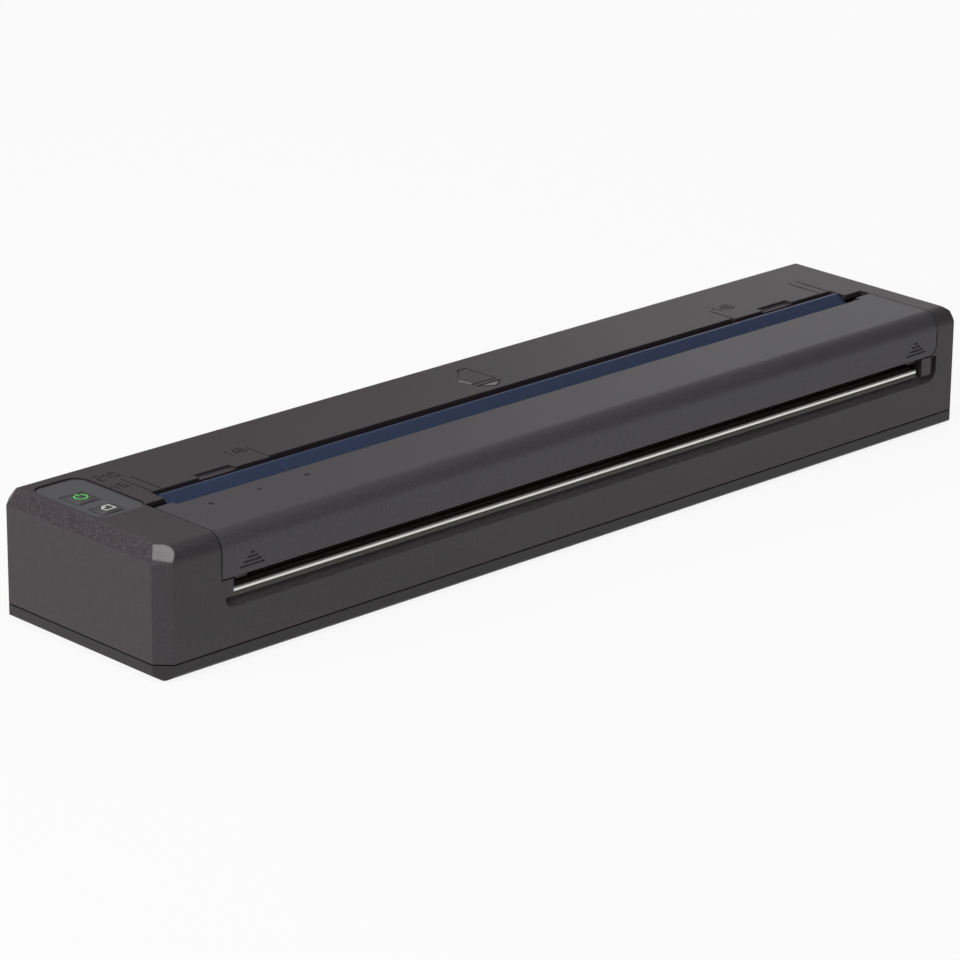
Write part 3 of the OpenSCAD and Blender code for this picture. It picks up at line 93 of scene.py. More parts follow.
def makeCamera(setup):
    turn = math.radians(setup["turn"])
    dip = math.radians(setup["dip"])
    roll = math.radians(setup["roll"])
    ahead = Vector((math.sin(turn) * math.cos(dip), math.cos(turn) * math.cos(dip), -math.sin(dip)))
    right = Vector((math.cos(turn), -math.sin(turn), 0.0))
    up = right.cross(ahead)
    rolledRight = right * math.cos(roll) + up * math.sin(roll)
    rolledUp = up * math.cos(roll) - right * math.sin(roll)
    lensData = bpy.data.cameras.new("photoCamera")
    lensData.sensor_width = setup["sensor"]
    lensData.lens = setup["lens"]
    lensData.shift_x = setup["shift"][0]
    lensData.shift_y = setup["shift"][1]
    lensData.clip_start = setup["clip"][0]
    lensData.clip_end = setup["clip"][1]
    camera = bpy.data.objects.new("photoCamera", lensData)
    bpy.context.scene.collection.objects.link(camera)
    turned = Matrix((rolledRight, rolledUp, -ahead)).transposed().to_4x4()
    camera.matrix_world = Matrix.Translation(Vector(setup["place"]) * mm) @ turned
    bpy.context.scene.camera = camera


makeCamera(cameraSetup)
bpy.context.scene.view_settings.view_transform = "Standard"
print("stage: camera")


class Wire:
    # one output socket of a shader node: sums and comparisons on it add Math nodes
    def __init__(self, paint, socket):
        self.paint = paint
        self.socket = socket

    def other(self, name):
        return Wire(self.paint, self.socket.node.outputs[name])

    def __add__(self, value):
        return self.paint.math("ADD", self, value)

    def __radd__(self, value):
        return self.paint.math("ADD", value, self)

    def __sub__(self, value):
        return self.paint.math("SUBTRACT", self, value)

    def __rsub__(self, value):
        return self.paint.math("SUBTRACT", value, self)

    def __mul__(self, value):
        return self.paint.math("MULTIPLY", self, value)

    def __rmul__(self, value):
        return self.paint.math("MULTIPLY", value, self)

    def __gt__(self, value):
        return self.paint.math("GREATER_THAN", self, value)

    def __lt__(self, value):
        return self.paint.math("LESS_THAN", self, value)


class Paint:
    # a material or world while its nodes are wired
    def __init__(self, owner):
        owner.use_nodes = True
        self.owner = owner
        self.tree = owner.node_tree
        self.tree.nodes.clear()

    def node(self, kind, settings=None, sockets=None, out=0):
        # one node: its settings first, then the values or links of its sockets
        made = self.tree.nodes.new(kind)
        for name, value in (settings or {}).items():
            setattr(made, name, value)
        for name, value in (sockets or {}).items():
            if isinstance(value, Wire):
                self.tree.links.new(value.socket, made.inputs[name])
            else:
                made.inputs[name].default_value = value
        return Wire(self, made.outputs[out]) if made.outputs else made

    def math(self, operation, first, second=0.0):
        return self.node("ShaderNodeMath", {"operation": operation}, {0: first, 1: second})

    def dot(self, first, second):
        settings = {"operation": "DOT_PRODUCT"}
        return self.node("ShaderNodeVectorMath", settings, {0: first, 1: second}, out="Value")

    def ramp(self, value, low, high, way="LINEAR"):
        # 0 at low, 1 at high, and level beyond them
        settings = {"interpolation_type": way}
        return self.node("ShaderNodeMapRange", settings, {"Value": value, "From Min": low, "From Max": high})

    def noise(self, place, scale, detail, rough=0.5):
        return self.node("ShaderNodeTexNoise", None, {
            "Vector": place, "Scale": scale, "Detail": detail, "Roughness": rough,
        })

    def blend(self, factor, first, second):
        # two colours mixed
        settings = {"data_type": "RGBA", "clamp_factor": True}
        return self.node("ShaderNodeMix", settings, {0: factor, 6: first, 7: second}, out=2)

    def finish(self, surface):
        kind = "World" if isinstance(self.owner, bpy.types.World) else "Material"
        self.node("ShaderNodeOutput" + kind, None, {"Surface": surface})
        return self.owner


def colour(code):
    # a colour from its six-digit screen code, made linear for the shader
    parts = [int(code[start:start + 2], 16) / 255 for start in (0, 2, 4)]
    return tuple(p / 12.92 if p < 0.04045 else ((p + 0.055) / 1.055) ** 2.4 for p in parts) + (1.0,)


def grey(level):
    return (level, level, level, 1.0)


lightSetup = {
    "horizon": 0.03,  # brightness of the pale room at the height of the printer
    "overhead": 0.26,  # brightness straight above
    "softboxes": [
        # name, place in mm, aimed at mm, size mm, watts
        ("overheadSoftbox", (-240, -220, 930), (-40, 0, 20), (260, 260), 3.2),
        ("rearSoftbox", (150, 700, 800), (0, 0, 0), (900, 500), 1.5),
        ("rightSoftbox", (750, 420, 230), (100, 0, 20), (500, 300), 0.64),
        ("leftSoftbox", (-900, 100, 450), (0, 0, 10), (600, 500), 3.7),
        ("frontCard", (-100, -900, 150), (0, 0, 10), (900, 300), 0.7),
    ],
    "floorColour": grey(0.85),
    "floorRoughness": 0.9,
    "floorWhite": 0.9,  # share of the floor that is white to the eye; the rest takes the shadow
    "floorHalf": 3.0,  # m
}


def makeRoom(setup):
    # dim at the sides, brighter above, and white to the eye
    world = bpy.data.worlds.new("paleRoom")
    bpy.context.scene.world = world
    paint = Paint(world)
    direction = paint.node("ShaderNodeTexCoord", out="Generated")
    height = paint.node("ShaderNodeSeparateXYZ", None, {0: direction}, out="Z")
    steepness = paint.math("ABSOLUTE", height)
    level = setup["horizon"] + steepness * (setup["overhead"] - setup["horizon"])
    ray = paint.node("ShaderNodeLightPath", out="Is Camera Ray")
    seen = paint.math("MAXIMUM", ray, ray.other("Is Transmission Ray"))
    strength = paint.math("MAXIMUM", seen, level)
    paint.finish(paint.node("ShaderNodeBackground", None, {"Color": grey(1.0), "Strength": strength}))


def makeSoftbox(name, place, aim, size, watts):
    data = bpy.data.lights.new(name, "AREA")
    data.shape = "RECTANGLE"
    data.size = size[0] * mm
    data.size_y = size[1] * mm
    data.energy = watts
    lamp = bpy.data.objects.new(name, data)
    bpy.context.scene.collection.objects.link(lamp)
    lamp.location = Vector(place) * mm
    lamp.rotation_euler = (Vector(aim) - Vector(place)).to_track_quat("-Z", "Y").to_euler()


def makeFloor(setup):
    half = setup["floorHalf"]
    mesh = bpy.data.meshes.new("paleFloor")
    corners = [(-half, -half, 0), (half, -half, 0), (half, half, 0), (-half, half, 0)]
    mesh.from_pydata(corners, [], [(0, 1, 2, 3)])
    floor = bpy.data.objects.new("paleFloor", mesh)
    bpy.context.scene.collection.objects.link(floor)
    floor.location.z = cadLow.z
    paint = Paint(bpy.data.materials.new("paleFloorPaper"))
    paper = paint.node("ShaderNodeBsdfPrincipled", None, {
        "Base Color": setup["floorColour"], "Roughness": setup["floorRoughness"],
    })
    white = paint.node("ShaderNodeEmission", None, {"Color": grey(1.0), "Strength": 1.0})
    ray = paint.node("ShaderNodeLightPath", out="Is Camera Ray")
    mirrored = paint.math("MAXIMUM", ray.other("Is Glossy Ray"), ray.other("Is Transmission Ray"))
    seen = paint.math("MAXIMUM", ray, mirrored)
    mesh.materials.append(paint.finish(paint.node("ShaderNodeMixShader", None, {
        0: seen * setup["floorWhite"], 1: paper, 2: white,
    })))


makeRoom(lightSetup)
for softbox in lightSetup["softboxes"]:
    makeSoftbox(*softbox)
makeFloor(lightSetup)
print("stage: room, softboxes and floor")


plasticSetup = {
    "grainDetail": 2.0, "grainRough": 0.6, "cloudDetail": 3.0,
    # each pair: the values between which a point goes from plain to a speck, a peak or a scratch
    "speck": (0.50, 0.72), "peak": (0.45, 0.75), "scratch": (0.70, 0.80),
    "cellSmoothness": 0.6,  # of the leather's cells
    "scratchScale": (60.0, 900.0, 300.0),
    "scratchGloss": 0.06,  # how much smoother a scratch is
}


def mouldedPlastic(name, setup):
    paint = Paint(bpy.data.materials.new(name))
    place = paint.node("ShaderNodeTexCoord", out="Object")
    grain = paint.noise(place, setup["grain"], plasticSetup["grainDetail"], plasticSetup["grainRough"])
    cloud = paint.noise(place, setup["cloud"], plasticSetup["cloudDetail"])
    speck = paint.ramp(grain, *plasticSetup["speck"], "SMOOTHSTEP")
    height = grain
    leather = setup.get("leather")
    if leather:
        area = leatherArea(paint, place, leather)
        cells = paint.node("ShaderNodeTexVoronoi", {"feature": "SMOOTH_F1"}, {
            "Vector": place, "Scale": leather["scale"], "Smoothness": plasticSetup["cellSmoothness"],
        }, out="Distance")
        height = grain + area * (cells * leather["height"] - grain)
        speck = speck + area * (paint.ramp(cells, *plasticSetup["peak"]) * leather["speckle"])
    base = paint.blend(speck * setup["speckle"], setup["colour"], setup["light"])
    toned = paint.blend(cloud * setup["mottle"], base, setup["dark"])
    roughness = setup["roughness"] + (grain - 0.5) * setup["roughnessSpread"]
    stretched = paint.node("ShaderNodeMapping", None, {0: place, "Scale": plasticSetup["scratchScale"]})
    scratch = paint.ramp(paint.noise(stretched, 1.0, 1.0), *plasticSetup["scratch"], "SMOOTHSTEP")
    softened, edge = softEdge(paint, setup["edgeRadius"])
    # lighter along edges: partly wear, partly a painted edge highlight
    wornAndHighlighted = paint.blend(edge * setup["wear"], toned, setup["light"])
    bump = paint.node("ShaderNodeBump", None, {
        "Strength": setup["bump"], "Distance": setup["bumpDepth"] * mm, "Height": height, "Normal": softened,
    })
    if leather:
        # painted highlight on the left front corner's facet, which is also made smoother
        polished = paintedHighlightCorner(paint, place, cornerFacet)
        wornAndHighlighted = paint.blend(polished * cornerFacet["rubbed"], wornAndHighlighted, leather["polished"])
        roughness = roughness - polished * cornerFacet["gloss"]
    return paint.finish(paint.node("ShaderNodeBsdfPrincipled", None, {
        "Base Color": wornAndHighlighted, "Roughness": roughness - scratch * plasticSetup["scratchGloss"], "Normal": bump,
        "Specular IOR Level": setup["specular"],
    }))


# the left front corner's facet: cut into the case, and given a painted highlight
cornerFacet = {
    "point": (-127.62, -24.43, 26.87),  # mm, a point on the facet
    "way": (-0.484, -0.527, 0.70),  # the way that it faces
    "slabHalf": 10.0,  # mm, half side and depth of the slab that cuts it
    "slabDepth": 6.0,
    "skin": (-0.08, -0.02),  # mm, from outside which depth its colour starts
    "rubbed": 0.6,  # how far its colour goes to the painted highlight's colour
    "gloss": 0.12,  # how much smoother it is
}


def paintedHighlightCorner(paint, place, setup):
    # 1 on the slanted facet of the left front corner, where its colour takes a painted highlight
    way = Vector(setup["way"]).normalized()
    level = Vector(setup["point"]).dot(way) * mm
    return paint.ramp(paint.dot(place, tuple(way)), *(level + depth * mm for depth in setup["skin"]))


edgeSetup = {
    "samples": 4,
    "turned": (0.99, 0.80),  # how alike the plain and the rounded normal are off an edge and on it
}


def softEdge(paint, radius):
    # the normal turned over as on a rounded edge, and how near an edge a point is
    softened = paint.node("ShaderNodeBevel", {"samples": edgeSetup["samples"]}, {"Radius": radius * mm})
    plain = paint.node("ShaderNodeNewGeometry", out="Normal")
    return softened, paint.ramp(paint.dot(softened, plain), *edgeSetup["turned"])


def leatherArea(paint, place, setup):
    # 1 on the left end's slope, where the grain is coarse, 0 elsewhere
    x = paint.node("ShaderNodeSeparateXYZ", None, {0: place}, out="X")
    left = 1 - paint.ramp(x, *(edge * mm for edge in setup["fadeX"]))
    return left * paint.ramp(x.other("Z"), *(edge * mm for edge in setup["fadeZ"]))


def brushedMetal(name, setup):
    paint = Paint(bpy.data.materials.new(name))
    place = paint.node("ShaderNodeTexCoord", out="Object")
    drawn = paint.node("ShaderNodeMapping", None, {0: place, "Scale": setup["stretch"]})
    lines = paint.noise(drawn, 1.0, setup["lineDetail"])
    cloud = paint.noise(place, setup["cloud"], setup["cloudDetail"])
    toned = paint.blend(lines, setup["dark"], setup["light"])
    stained = paint.blend(cloud * setup["stain"], toned, setup["stainColour"])
    bump = paint.node("ShaderNodeBump", None, {
        "Strength": setup["bump"], "Distance": setup["bumpDepth"] * mm, "Height": lines,
    })
    return paint.finish(paint.node("ShaderNodeBsdfPrincipled", None, {
        "Base Color": stained, "Metallic": 1.0, "Normal": bump,
        "Roughness": setup["roughness"] + (cloud - 0.5) * setup["roughnessSpread"],
    }))


def circuitBoard(name, setup):
    # green board with paler tracks and tinned dots; what stands above partsFrom is dark chips
    paint = Paint(bpy.data.materials.new(name))
    place = paint.node("ShaderNodeTexCoord", out="Object")
    tracks = paint.node("ShaderNodeTexBrick", {"offset": 0.35, "offset_frequency": 3}, {
        "Vector": place, "Color1": grey(0.0), "Color2": grey(0.0), "Mortar": grey(1.0),
        "Scale": setup["trackScale"], "Mortar Size": setup["trackWidth"],
        "Brick Width": setup["trackLength"], "Row Height": setup["trackStep"],
    }, out="Fac")
    dots = paint.node("ShaderNodeTexVoronoi", None, {
        "Vector": place, "Scale": setup["dotScale"],
    }, out="Distance")
    tinned = dots < setup["dotRadius"]
    cloud = paint.noise(place, setup["cloud"], setup["cloudDetail"])
    mask = paint.blend(tracks, setup["mask"], setup["track"])
    toned = paint.blend(cloud * setup["mottle"], mask, setup["shade"])
    board = paint.blend(tinned, toned, setup["tin"])
    height = paint.node("ShaderNodeSeparateXYZ", None, {0: place}, out="Z")
    chip = height > setup["partsFrom"] * mm
    speck = paint.noise(place, setup["chipGrain"], 1.0)
    body = paint.blend(speck * 0.5, setup["chip"], setup["chipLight"])
    bump = paint.node("ShaderNodeBump", None, {
        "Strength": setup["bump"], "Distance": setup["bumpDepth"] * mm, "Height": tracks + tinned,
    })
    return paint.finish(paint.node("ShaderNodeBsdfPrincipled", None, {
        "Base Color": paint.blend(chip, board, body),
        "Metallic": tinned * (1.0 - chip) * setup["tinMetallic"],
        "Roughness": setup["roughness"] + chip * setup["chipRoughness"] + cloud * setup["roughnessSpread"],
        "Normal": bump,
    }))


casePlastic = {
    "colour": colour("3D363A"), "light": colour("574E53"), "dark": colour("302A2D"),
    "grain": 1700.0, "cloud": 25.0, "speckle": 0.55, "mottle": 0.35, "specular": 0.45,
    "roughness": 0.50, "roughnessSpread": 0.25, "bump": 0.30, "bumpDepth": 0.05,
    "edgeRadius": 0.25, "wear": 0.6,
    "leather": {
        # of these, the last colour is a painted highlight on the left front corner's facet
        "scale": 2100.0, "height": 3.0, "speckle": 2.2, "polished": colour("837E80"),
        "fadeX": (-124.9, -123.6), "fadeZ": (26.2, 27.0),  # mm, where the leather grain ends
    },
}
coverPlastic = dict(casePlastic, colour=colour("464347"), light=colour("615D61"), dark=colour("3A373A"))
del coverPlastic["leather"]
trayPlastic = dict(coverPlastic, colour=colour("2A2628"), light=colour("3C3739"), dark=colour("211E20"))
guidePlastic = dict(coverPlastic, colour=colour("3A3634"), light=colour("55504D"), dark=colour("2C2928"))
guidePlastic.update({"roughness": 0.55, "grain": 900.0})
# a lighter copy of guidePlastic for the exit guide: painted light on the ramp, which lies in shade under the
# cover
rampPlastic = dict(guidePlastic, colour=colour("756E66"), light=colour("8C857C"), dark=colour("605A53"))
holderPlastic = dict(guidePlastic, colour=colour("4A4540"), light=colour("5E5852"), dark=colour("3A3632"))
# a lighter copy of the case plastic: painted highlight on the lit facets of the sign
inlayPlastic = dict(casePlastic, colour=colour("7D7679"), light=colour("9A9296"), dark=colour("6A6467"))
del inlayPlastic["leather"]
stripPlastic = {
    "colour": colour("2A3756"), "light": colour("3F4C6C"), "dark": colour("242E48"),
    "grain": 2200.0, "cloud": 18.0, "speckle": 0.35, "mottle": 0.35, "specular": 0.4,
    "roughness": 0.42, "roughnessSpread": 0.15, "bump": 0.12, "bumpDepth": 0.03,
    "edgeRadius": 0.2, "wear": 0.8,
}
panelPlastic = dict(stripPlastic, colour=colour("555456"), light=colour("676567"), dark=colour("484649"))
buttonPlastic = dict(stripPlastic, colour=colour("454346"), light=colour("565457"), dark=colour("3A383B"))
gearPlastic = dict(
    stripPlastic, colour=colour("D9D4C6"), light=colour("EFEBDF"), dark=colour("BDB7A6"), roughness=0.38)
wrapFilm = dict(
    stripPlastic, colour=colour("26272B"), light=colour("3A3C42"), dark=colour("1B1C1F"),
    roughness=0.28, cloud=60.0)
blackRubber = dict(
    stripPlastic, colour=colour("232224"), light=colour("3C3B3D"), dark=colour("19181A"),
    roughness=0.75, bump=0.4, grain=1400.0)
clearLens = dict(stripPlastic, colour=colour("151715"), light=colour("1F221F"), dark=colour("101110"))
glazedCeramic = dict(
    stripPlastic, colour=colour("C9C4B6"), light=colour("DAD6CA"), dark=colour("A9A496"), roughness=0.18)
amberFilm = dict(
    stripPlastic, colour=colour("B87326"), light=colour("D69445"), dark=colour("8C5418"), roughness=0.3)
drawnSteel = {
    "light": colour("D6D6D3"), "dark": colour("A3A3A1"), "stainColour": colour("77787A"), "stain": 0.25,
    "stretch": (25.0, 1800.0, 1800.0), "lineDetail": 4.0, "cloud": 90.0, "cloudDetail": 3.0,
    "roughness": 0.32, "roughnessSpread": 0.25, "bump": 0.15, "bumpDepth": 0.02,
}
tearSteel = dict(drawnSteel, light=colour("F0F0EC"), dark=colour("CFCFCA"), stain=0.1, roughness=0.30)
plainBrass = dict(
    drawnSteel, light=colour("D9B66A"), dark=colour("A98443"), stainColour=colour("6E5630"),
    stretch=(900.0, 900.0, 200.0))
plainAluminium = dict(drawnSteel, light=colour("CDD0D3"), dark=colour("A0A3A7"), roughness=0.4)
printedBoard = {
    "mask": colour("1E5A36"), "track": colour("2F7A4A"), "shade": colour("123A22"), "tin": colour("C9CBC8"),
    "chip": colour("1C1C1E"), "chipLight": colour("2B2B2E"), "chipGrain": 2500.0,
    "partsFrom": 1000.0,  # mm, here above the whole board, so that it has no chips
    "trackScale": 120.0, "trackWidth": 0.035, "trackLength": 0.9, "trackStep": 0.14,
    "dotScale": 260.0, "dotRadius": 0.13, "tinMetallic": 0.9,
    "cloud": 70.0, "cloudDetail": 3.0, "mottle": 0.4,
    "roughness": 0.36, "chipRoughness": 0.2, "roughnessSpread": 0.1, "bump": 0.4, "bumpDepth": 0.03,
}
mainPrintedBoard = dict(printedBoard, partsFrom=5.35)


finishes = {}
for finishName, finishSetup in {
    "casePlastic": casePlastic, "coverPlastic": coverPlastic, "trayPlastic": trayPlastic,
    "guidePlastic": guidePlastic, "rampPlastic": rampPlastic, "holderPlastic": holderPlastic,
    "inlayPlastic": inlayPlastic, "stripPlastic": stripPlastic, "panelPlastic": panelPlastic,
    "buttonPlastic": buttonPlastic, "gearPlastic": gearPlastic, "wrapFilm": wrapFilm,
    "blackRubber": blackRubber, "clearLens": clearLens, "glazedCeramic": glazedCeramic,
    "amberFilm": amberFilm,
}.items():
    finishes[finishName] = mouldedPlastic(finishName, finishSetup)
for finishName, finishSetup in {
    "drawnSteel": drawnSteel, "tearSteel": tearSteel, "plainBrass": plainBrass,
    "plainAluminium": plainAluminium,
}.items():
    finishes[finishName] = brushedMetal(finishName, finishSetup)
finishes["printedBoard"] = circuitBoard("printedBoard", printedBoard)
finishes["mainPrintedBoard"] = circuitBoard("mainPrintedBoard", mainPrintedBoard)
print("stage:", len(finishes), "finishes")


slotFinish = {
    # the finish that a node takes from the record's slot, unless nodeFinish names its own
    "case_plastic": "casePlastic", "cover_plastic": "coverPlastic", "dark_plastic": "guidePlastic",
    "blue_plastic": "stripPlastic", "panel_plastic": "panelPlastic", "button_plastic": "buttonPlastic",
    "lens_plastic": "clearLens", "gear_plastic": "gearPlastic", "board": "printedBoard",
    "ribbon_film": "amberFilm", "battery_wrap": "wrapFilm", "rubber": "blackRubber",
    "steel": "drawnSteel", "brass": "plainBrass", "aluminium": "plainAluminium", "ceramic": "glazedCeramic",
}
nodeFinish = {
    # the exit guide takes the lighter plastic that paints light on it
    "base_tray": "trayPlastic", "main_board": "mainPrintedBoard", "exit_guide": "rampPlastic",
}
slotOf = {}  # each node's slot in the record


def finishOf(node):
    return finishes[nodeFinish.get(node, slotFinish[slotOf[node]])]


for node in frame["nodes"]:
    slots = bpy.data.objects[node].data.materials
    for index, old in enumerate(slots):
        if old:
            slotOf[node] = old.name
            slots[index] = finishOf(node)
print("stage: nodes dressed")


# pieces with the CAD node's own form: how far their edges are rounded in mm, 0 for not at all
roundedForms = {
    "top_case": 0, "base_tray": 0, "battery_door": 0.15, "release_cover": 0, "paper_guide": 0,
    "button_panel": 0.15, "exit_guide": 0.08, "rubber_feet": 0.15, "battery_pack": 0.15,
    "platen_rubber": 0.15, "platen_shaft": 0.1, "platen_bushes": 0.1, "platen_gear": 0.05,
    "idler_gear": 0.05, "compound_gear": 0, "motor_pinion": 0.03, "motor_body": 0.25,
    "motor_shaft": 0.1, "gear_posts": 0.05, "gear_clips": 0.05, "case_screws": 0.06, "frame_screws": 0.06,
    "hinge_pins": 0.1, "door_pin": 0.1, "head_pivot_rod": 0.1, "power_inlet": 0.1, "data_port": 0.05,
    "cover_lenses": 0.05, "inlet_guide": 0.1, "mechanism_plate": 0.08, "left_side_frame": 0.08,
    "right_side_frame": 0.08, "heat_sink": 0, "button_switches": 0.05,
}
formSetup = {
    "join": 0.001,  # mm, corners nearer than this become one
    "flat": 0.4,  # degrees between facets that become one face
    "crease": 28.0,  # degrees from which an edge stays an edge
    "rounds": 2,  # facets on a rounded edge
}


def meshOf(form, name):
    mesh = bpy.data.meshes.new(name)
    form.to_mesh(mesh)
    form.free()
    return mesh


def ownForm(node, flatten):
    # a mesh with the node's form: corners joined, and where it helps flat facets made one face
    form = bmesh.new()
    form.from_mesh(bpy.data.objects[node].data)
    bmesh.ops.remove_doubles(form, verts=form.verts, dist=formSetup["join"] * mm)
    if flatten:
        flat = math.radians(formSetup["flat"])
        bmesh.ops.dissolve_limit(form, angle_limit=flat, verts=form.verts, edges=form.edges)
    mesh = meshOf(form, pieceName(node))
    stale = mesh.attributes.get("custom_normal")
    if stale:
        mesh.attributes.remove(stale)
    return mesh


def pieceName(node):
    first, *rest = node.split("_")
    return first + "".join(word.capitalize() for word in rest) + "Form"


def creaseEdges(mesh):
    crease = math.radians(formSetup["crease"])
    form = bmesh.new()
    form.from_mesh(mesh)
    for face in form.faces:
        face.smooth = True
    for edge in form.edges:
        edge.smooth = edge.is_manifold and edge.calc_face_angle(0.0) < crease
    form.to_mesh(mesh)
    form.free()


def addPiece(name, mesh, node, finish=None, replace=True):
    # rides on the node's body, takes its slot and, unless told otherwise, its place
    piece = bpy.data.objects.new(name, mesh)
    bpy.context.scene.collection.objects.link(piece)
    mesh.materials.clear()
    mesh.materials.append(finishes[finish] if finish else finishOf(node))
    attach(piece, body_of(bpy.data.objects[node])[0])
    if replace:
        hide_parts(node)
    return piece


def roundEdges(piece, width):
    if width:
        bevel = piece.modifiers.new("roundedEdges", "BEVEL")
        bevel.width = width * mm
        bevel.segments = formSetup["rounds"]
        bevel.limit_method = "ANGLE"
        bevel.angle_limit = math.radians(formSetup["crease"])
        bevel.use_clamp_overlap = False
        bevel.harden_normals = True
        bevel.miter_outer = "MITER_ARC"
    even = piece.modifiers.new("evenShading", "WEIGHTED_NORMAL")
    even.keep_sharp = True


caseMarks = {
    # mm
    "surface": 30.0,  # height of the case's top
    "depth": 0.28,
    "over": 1.0,  # how far a cutter stands out of the case
    "stroke": 0.36,
    "sheetStroke": 0.5,
    # sheet with a cut corner, then the arrow in front of it
    "sheet": [(1.5, 18.8), (3.9, 18.8), (4.4, 9.0), (-3.1, 9.2), (-3.4, 12.3), (-4.0, 13.2), (1.5, 18.8)],
    "arrow": [(-2.9, 7.6), (4.2, 7.4), (0.8, 4.8), (-2.9, 7.6)],
    # paler facets of the sheet's left side and of the arrow: painted highlight where light falls on them
    "facets": [
        [(-3.95, 13.0), (-3.25, 9.5), (-2.6, 9.7), (-3.2, 13.3)],
        [(-1.6, 7.15), (0.8, 5.3), (3.4, 7.0)],
    ],
    "facetSunk": 0.2,
    "facetProud": 0.03,
    # corner behind the right end, rounded as seen from above: x, y, radius, from height to height
    "rearCorner": (127.5, 27.5, 6.5, -1.0, 31.0),
    "cornerSteps": 12,
    # widths of paper in mm beside their marks: number, left, front, digit width, digit height, step
    "numbers": [
        ("210", -108.3, 15.3, 1.3, 3.0, 2.0), ("216", -111.4, 8.9, 1.4, 2.6, 2.1),
        ("148", -76.9, 9.0, 1.2, 2.8, 1.9), ("148", 80.4, 9.2, 1.2, 2.9, 1.9),
    ],
}
digitStrokes = {
    # corners on a grid two wide and four high
    "0": [[(0, 0), (2, 0), (2, 4), (0, 4), (0, 0)]],
    "1": [[(0.3, 3.2), (1.2, 4), (1.2, 0)]],
    "2": [[(0, 4), (2, 4), (2, 2), (0, 2), (0, 0), (2, 0)]],
    "4": [[(1.6, 0), (1.6, 4), (0, 1.3), (2, 1.3)]],
    "6": [[(2, 4), (0, 4), (0, 0), (2, 0), (2, 2), (0, 2)]],
    "8": [[(0, 0), (2, 0), (2, 4), (0, 4), (0, 0)], [(0, 2), (2, 2)]],
}


def addPrism(form, outline, low, high):
    # an upright solid on an outline that runs anticlockwise
    lower = [form.verts.new((x * mm, y * mm, low * mm)) for x, y in outline]
    upper = [form.verts.new((x * mm, y * mm, high * mm)) for x, y in outline]
    form.faces.new(lower[::-1])
    form.faces.new(upper)
    for index in range(len(outline)):
        after = (index + 1) % len(outline)
        form.faces.new((lower[index], lower[after], upper[after], upper[index]))


def addStroke(form, first, second, width, low, high):
    along = (Vector(second) - Vector(first)).normalized() * width / 2
    side = Vector((-along.y, along.x))
    start = Vector(first) - along
    end = Vector(second) + along
    addPrism(form, [start - side, end - side, end + side, start + side], low, high)


def caseCutter(setup):
    # every stroke of the numbers, the sheet and the arrow
    form = bmesh.new()
    low = setup["surface"] - setup["depth"]
    high = setup["surface"] + setup["over"]
    lines = []
    for number, left, front, width, height, step in setup["numbers"]:
        for place, digit in enumerate(number):
            for line in digitStrokes[digit]:
                corner = left + place * step
                lines.append([(corner + x * width / 2, front + y * height / 4) for x, y in line])
    for line in lines:
        for first, second in zip(line, line[1:]):
            addStroke(form, first, second, setup["stroke"], low, high)
    for line in (setup["sheet"], setup["arrow"]):
        for first, second in zip(line, line[1:]):
            addStroke(form, first, second, setup["sheetStroke"], low, high)
    return meshOf(form, "caseCutter")


def addAlong(form, profile, left, right):
    # a solid along x on a profile of (y, z) in mm
    ends = [[form.verts.new((x * mm, y * mm, z * mm)) for y, z in profile] for x in (left, right)]
    form.faces.new(ends[0])
    form.faces.new(ends[1][::-1])
    for index in range(len(profile)):
        after = (index + 1) % len(profile)
        form.faces.new((ends[0][index], ends[1][index], ends[1][after], ends[0][after]))


def cornerCutter(setup):
    # what lies outside a corner that is rounded as seen from above
    x, y, radius, low, high = setup["rearCorner"]
    over = setup["over"]
    outline = [(x - radius, y + over)]
    for step in range(setup["cornerSteps"] + 1):
        turn = math.radians(90 - 90 * step / setup["cornerSteps"])
        outline.append((x - radius + radius * math.cos(turn), y - radius + radius * math.sin(turn)))
    outline += [(x + over, y - radius), (x + over, y + over)]
    form = bmesh.new()
    addPrism(form, outline, low, high)
    return meshOf(form, "cornerCutter")


def facetCutter(setup):
    # a slab that lies on the corner's facet
    way = Vector(setup["way"]).normalized()
    side = way.cross(Vector((0.0, 0.0, 1.0))).normalized()
    up = side.cross(way)
    start = Vector(setup["point"])
    form = bmesh.new()
    rings = []
    half = setup["slabHalf"]
    corners = [(-half, -half), (half, -half), (half, half), (-half, half)]
    for rise in (0.0, setup["slabDepth"]):
        rings.append([form.verts.new((start + way * rise + side * a + up * b) * mm) for a, b in corners])
    form.faces.new(rings[0])
    form.faces.new(rings[1])
    for index in range(4):
        after = (index + 1) % 4
        form.faces.new((rings[0][index], rings[0][after], rings[1][after], rings[1][index]))
    bmesh.ops.recalc_face_normals(form, faces=form.faces)
    return meshOf(form, "facetCutter")


def stripCutter(setup):
    # shallow seams across the blue strip
    form = bmesh.new()
    half = setup["width"] / 2
    for x in setup["places"]:
        addAlong(form, setup["outline"], x - half, x + half)
    bmesh.ops.recalc_face_normals(form, faces=form.faces)
    return meshOf(form, "stripCutter")


stripSeams = {
    "places": (-70.75, 78.75, 110.9), "width": 0.28,  # mm
    # the cutter as (y, z) in mm: its lower side runs just under the strip's face
    "outline": [(1.32, 31.0), (1.32, 29.0), (0.35, 29.8), (-0.33, 29.64), (-9.0, 24.63), (-9.0, 31.0)],
}


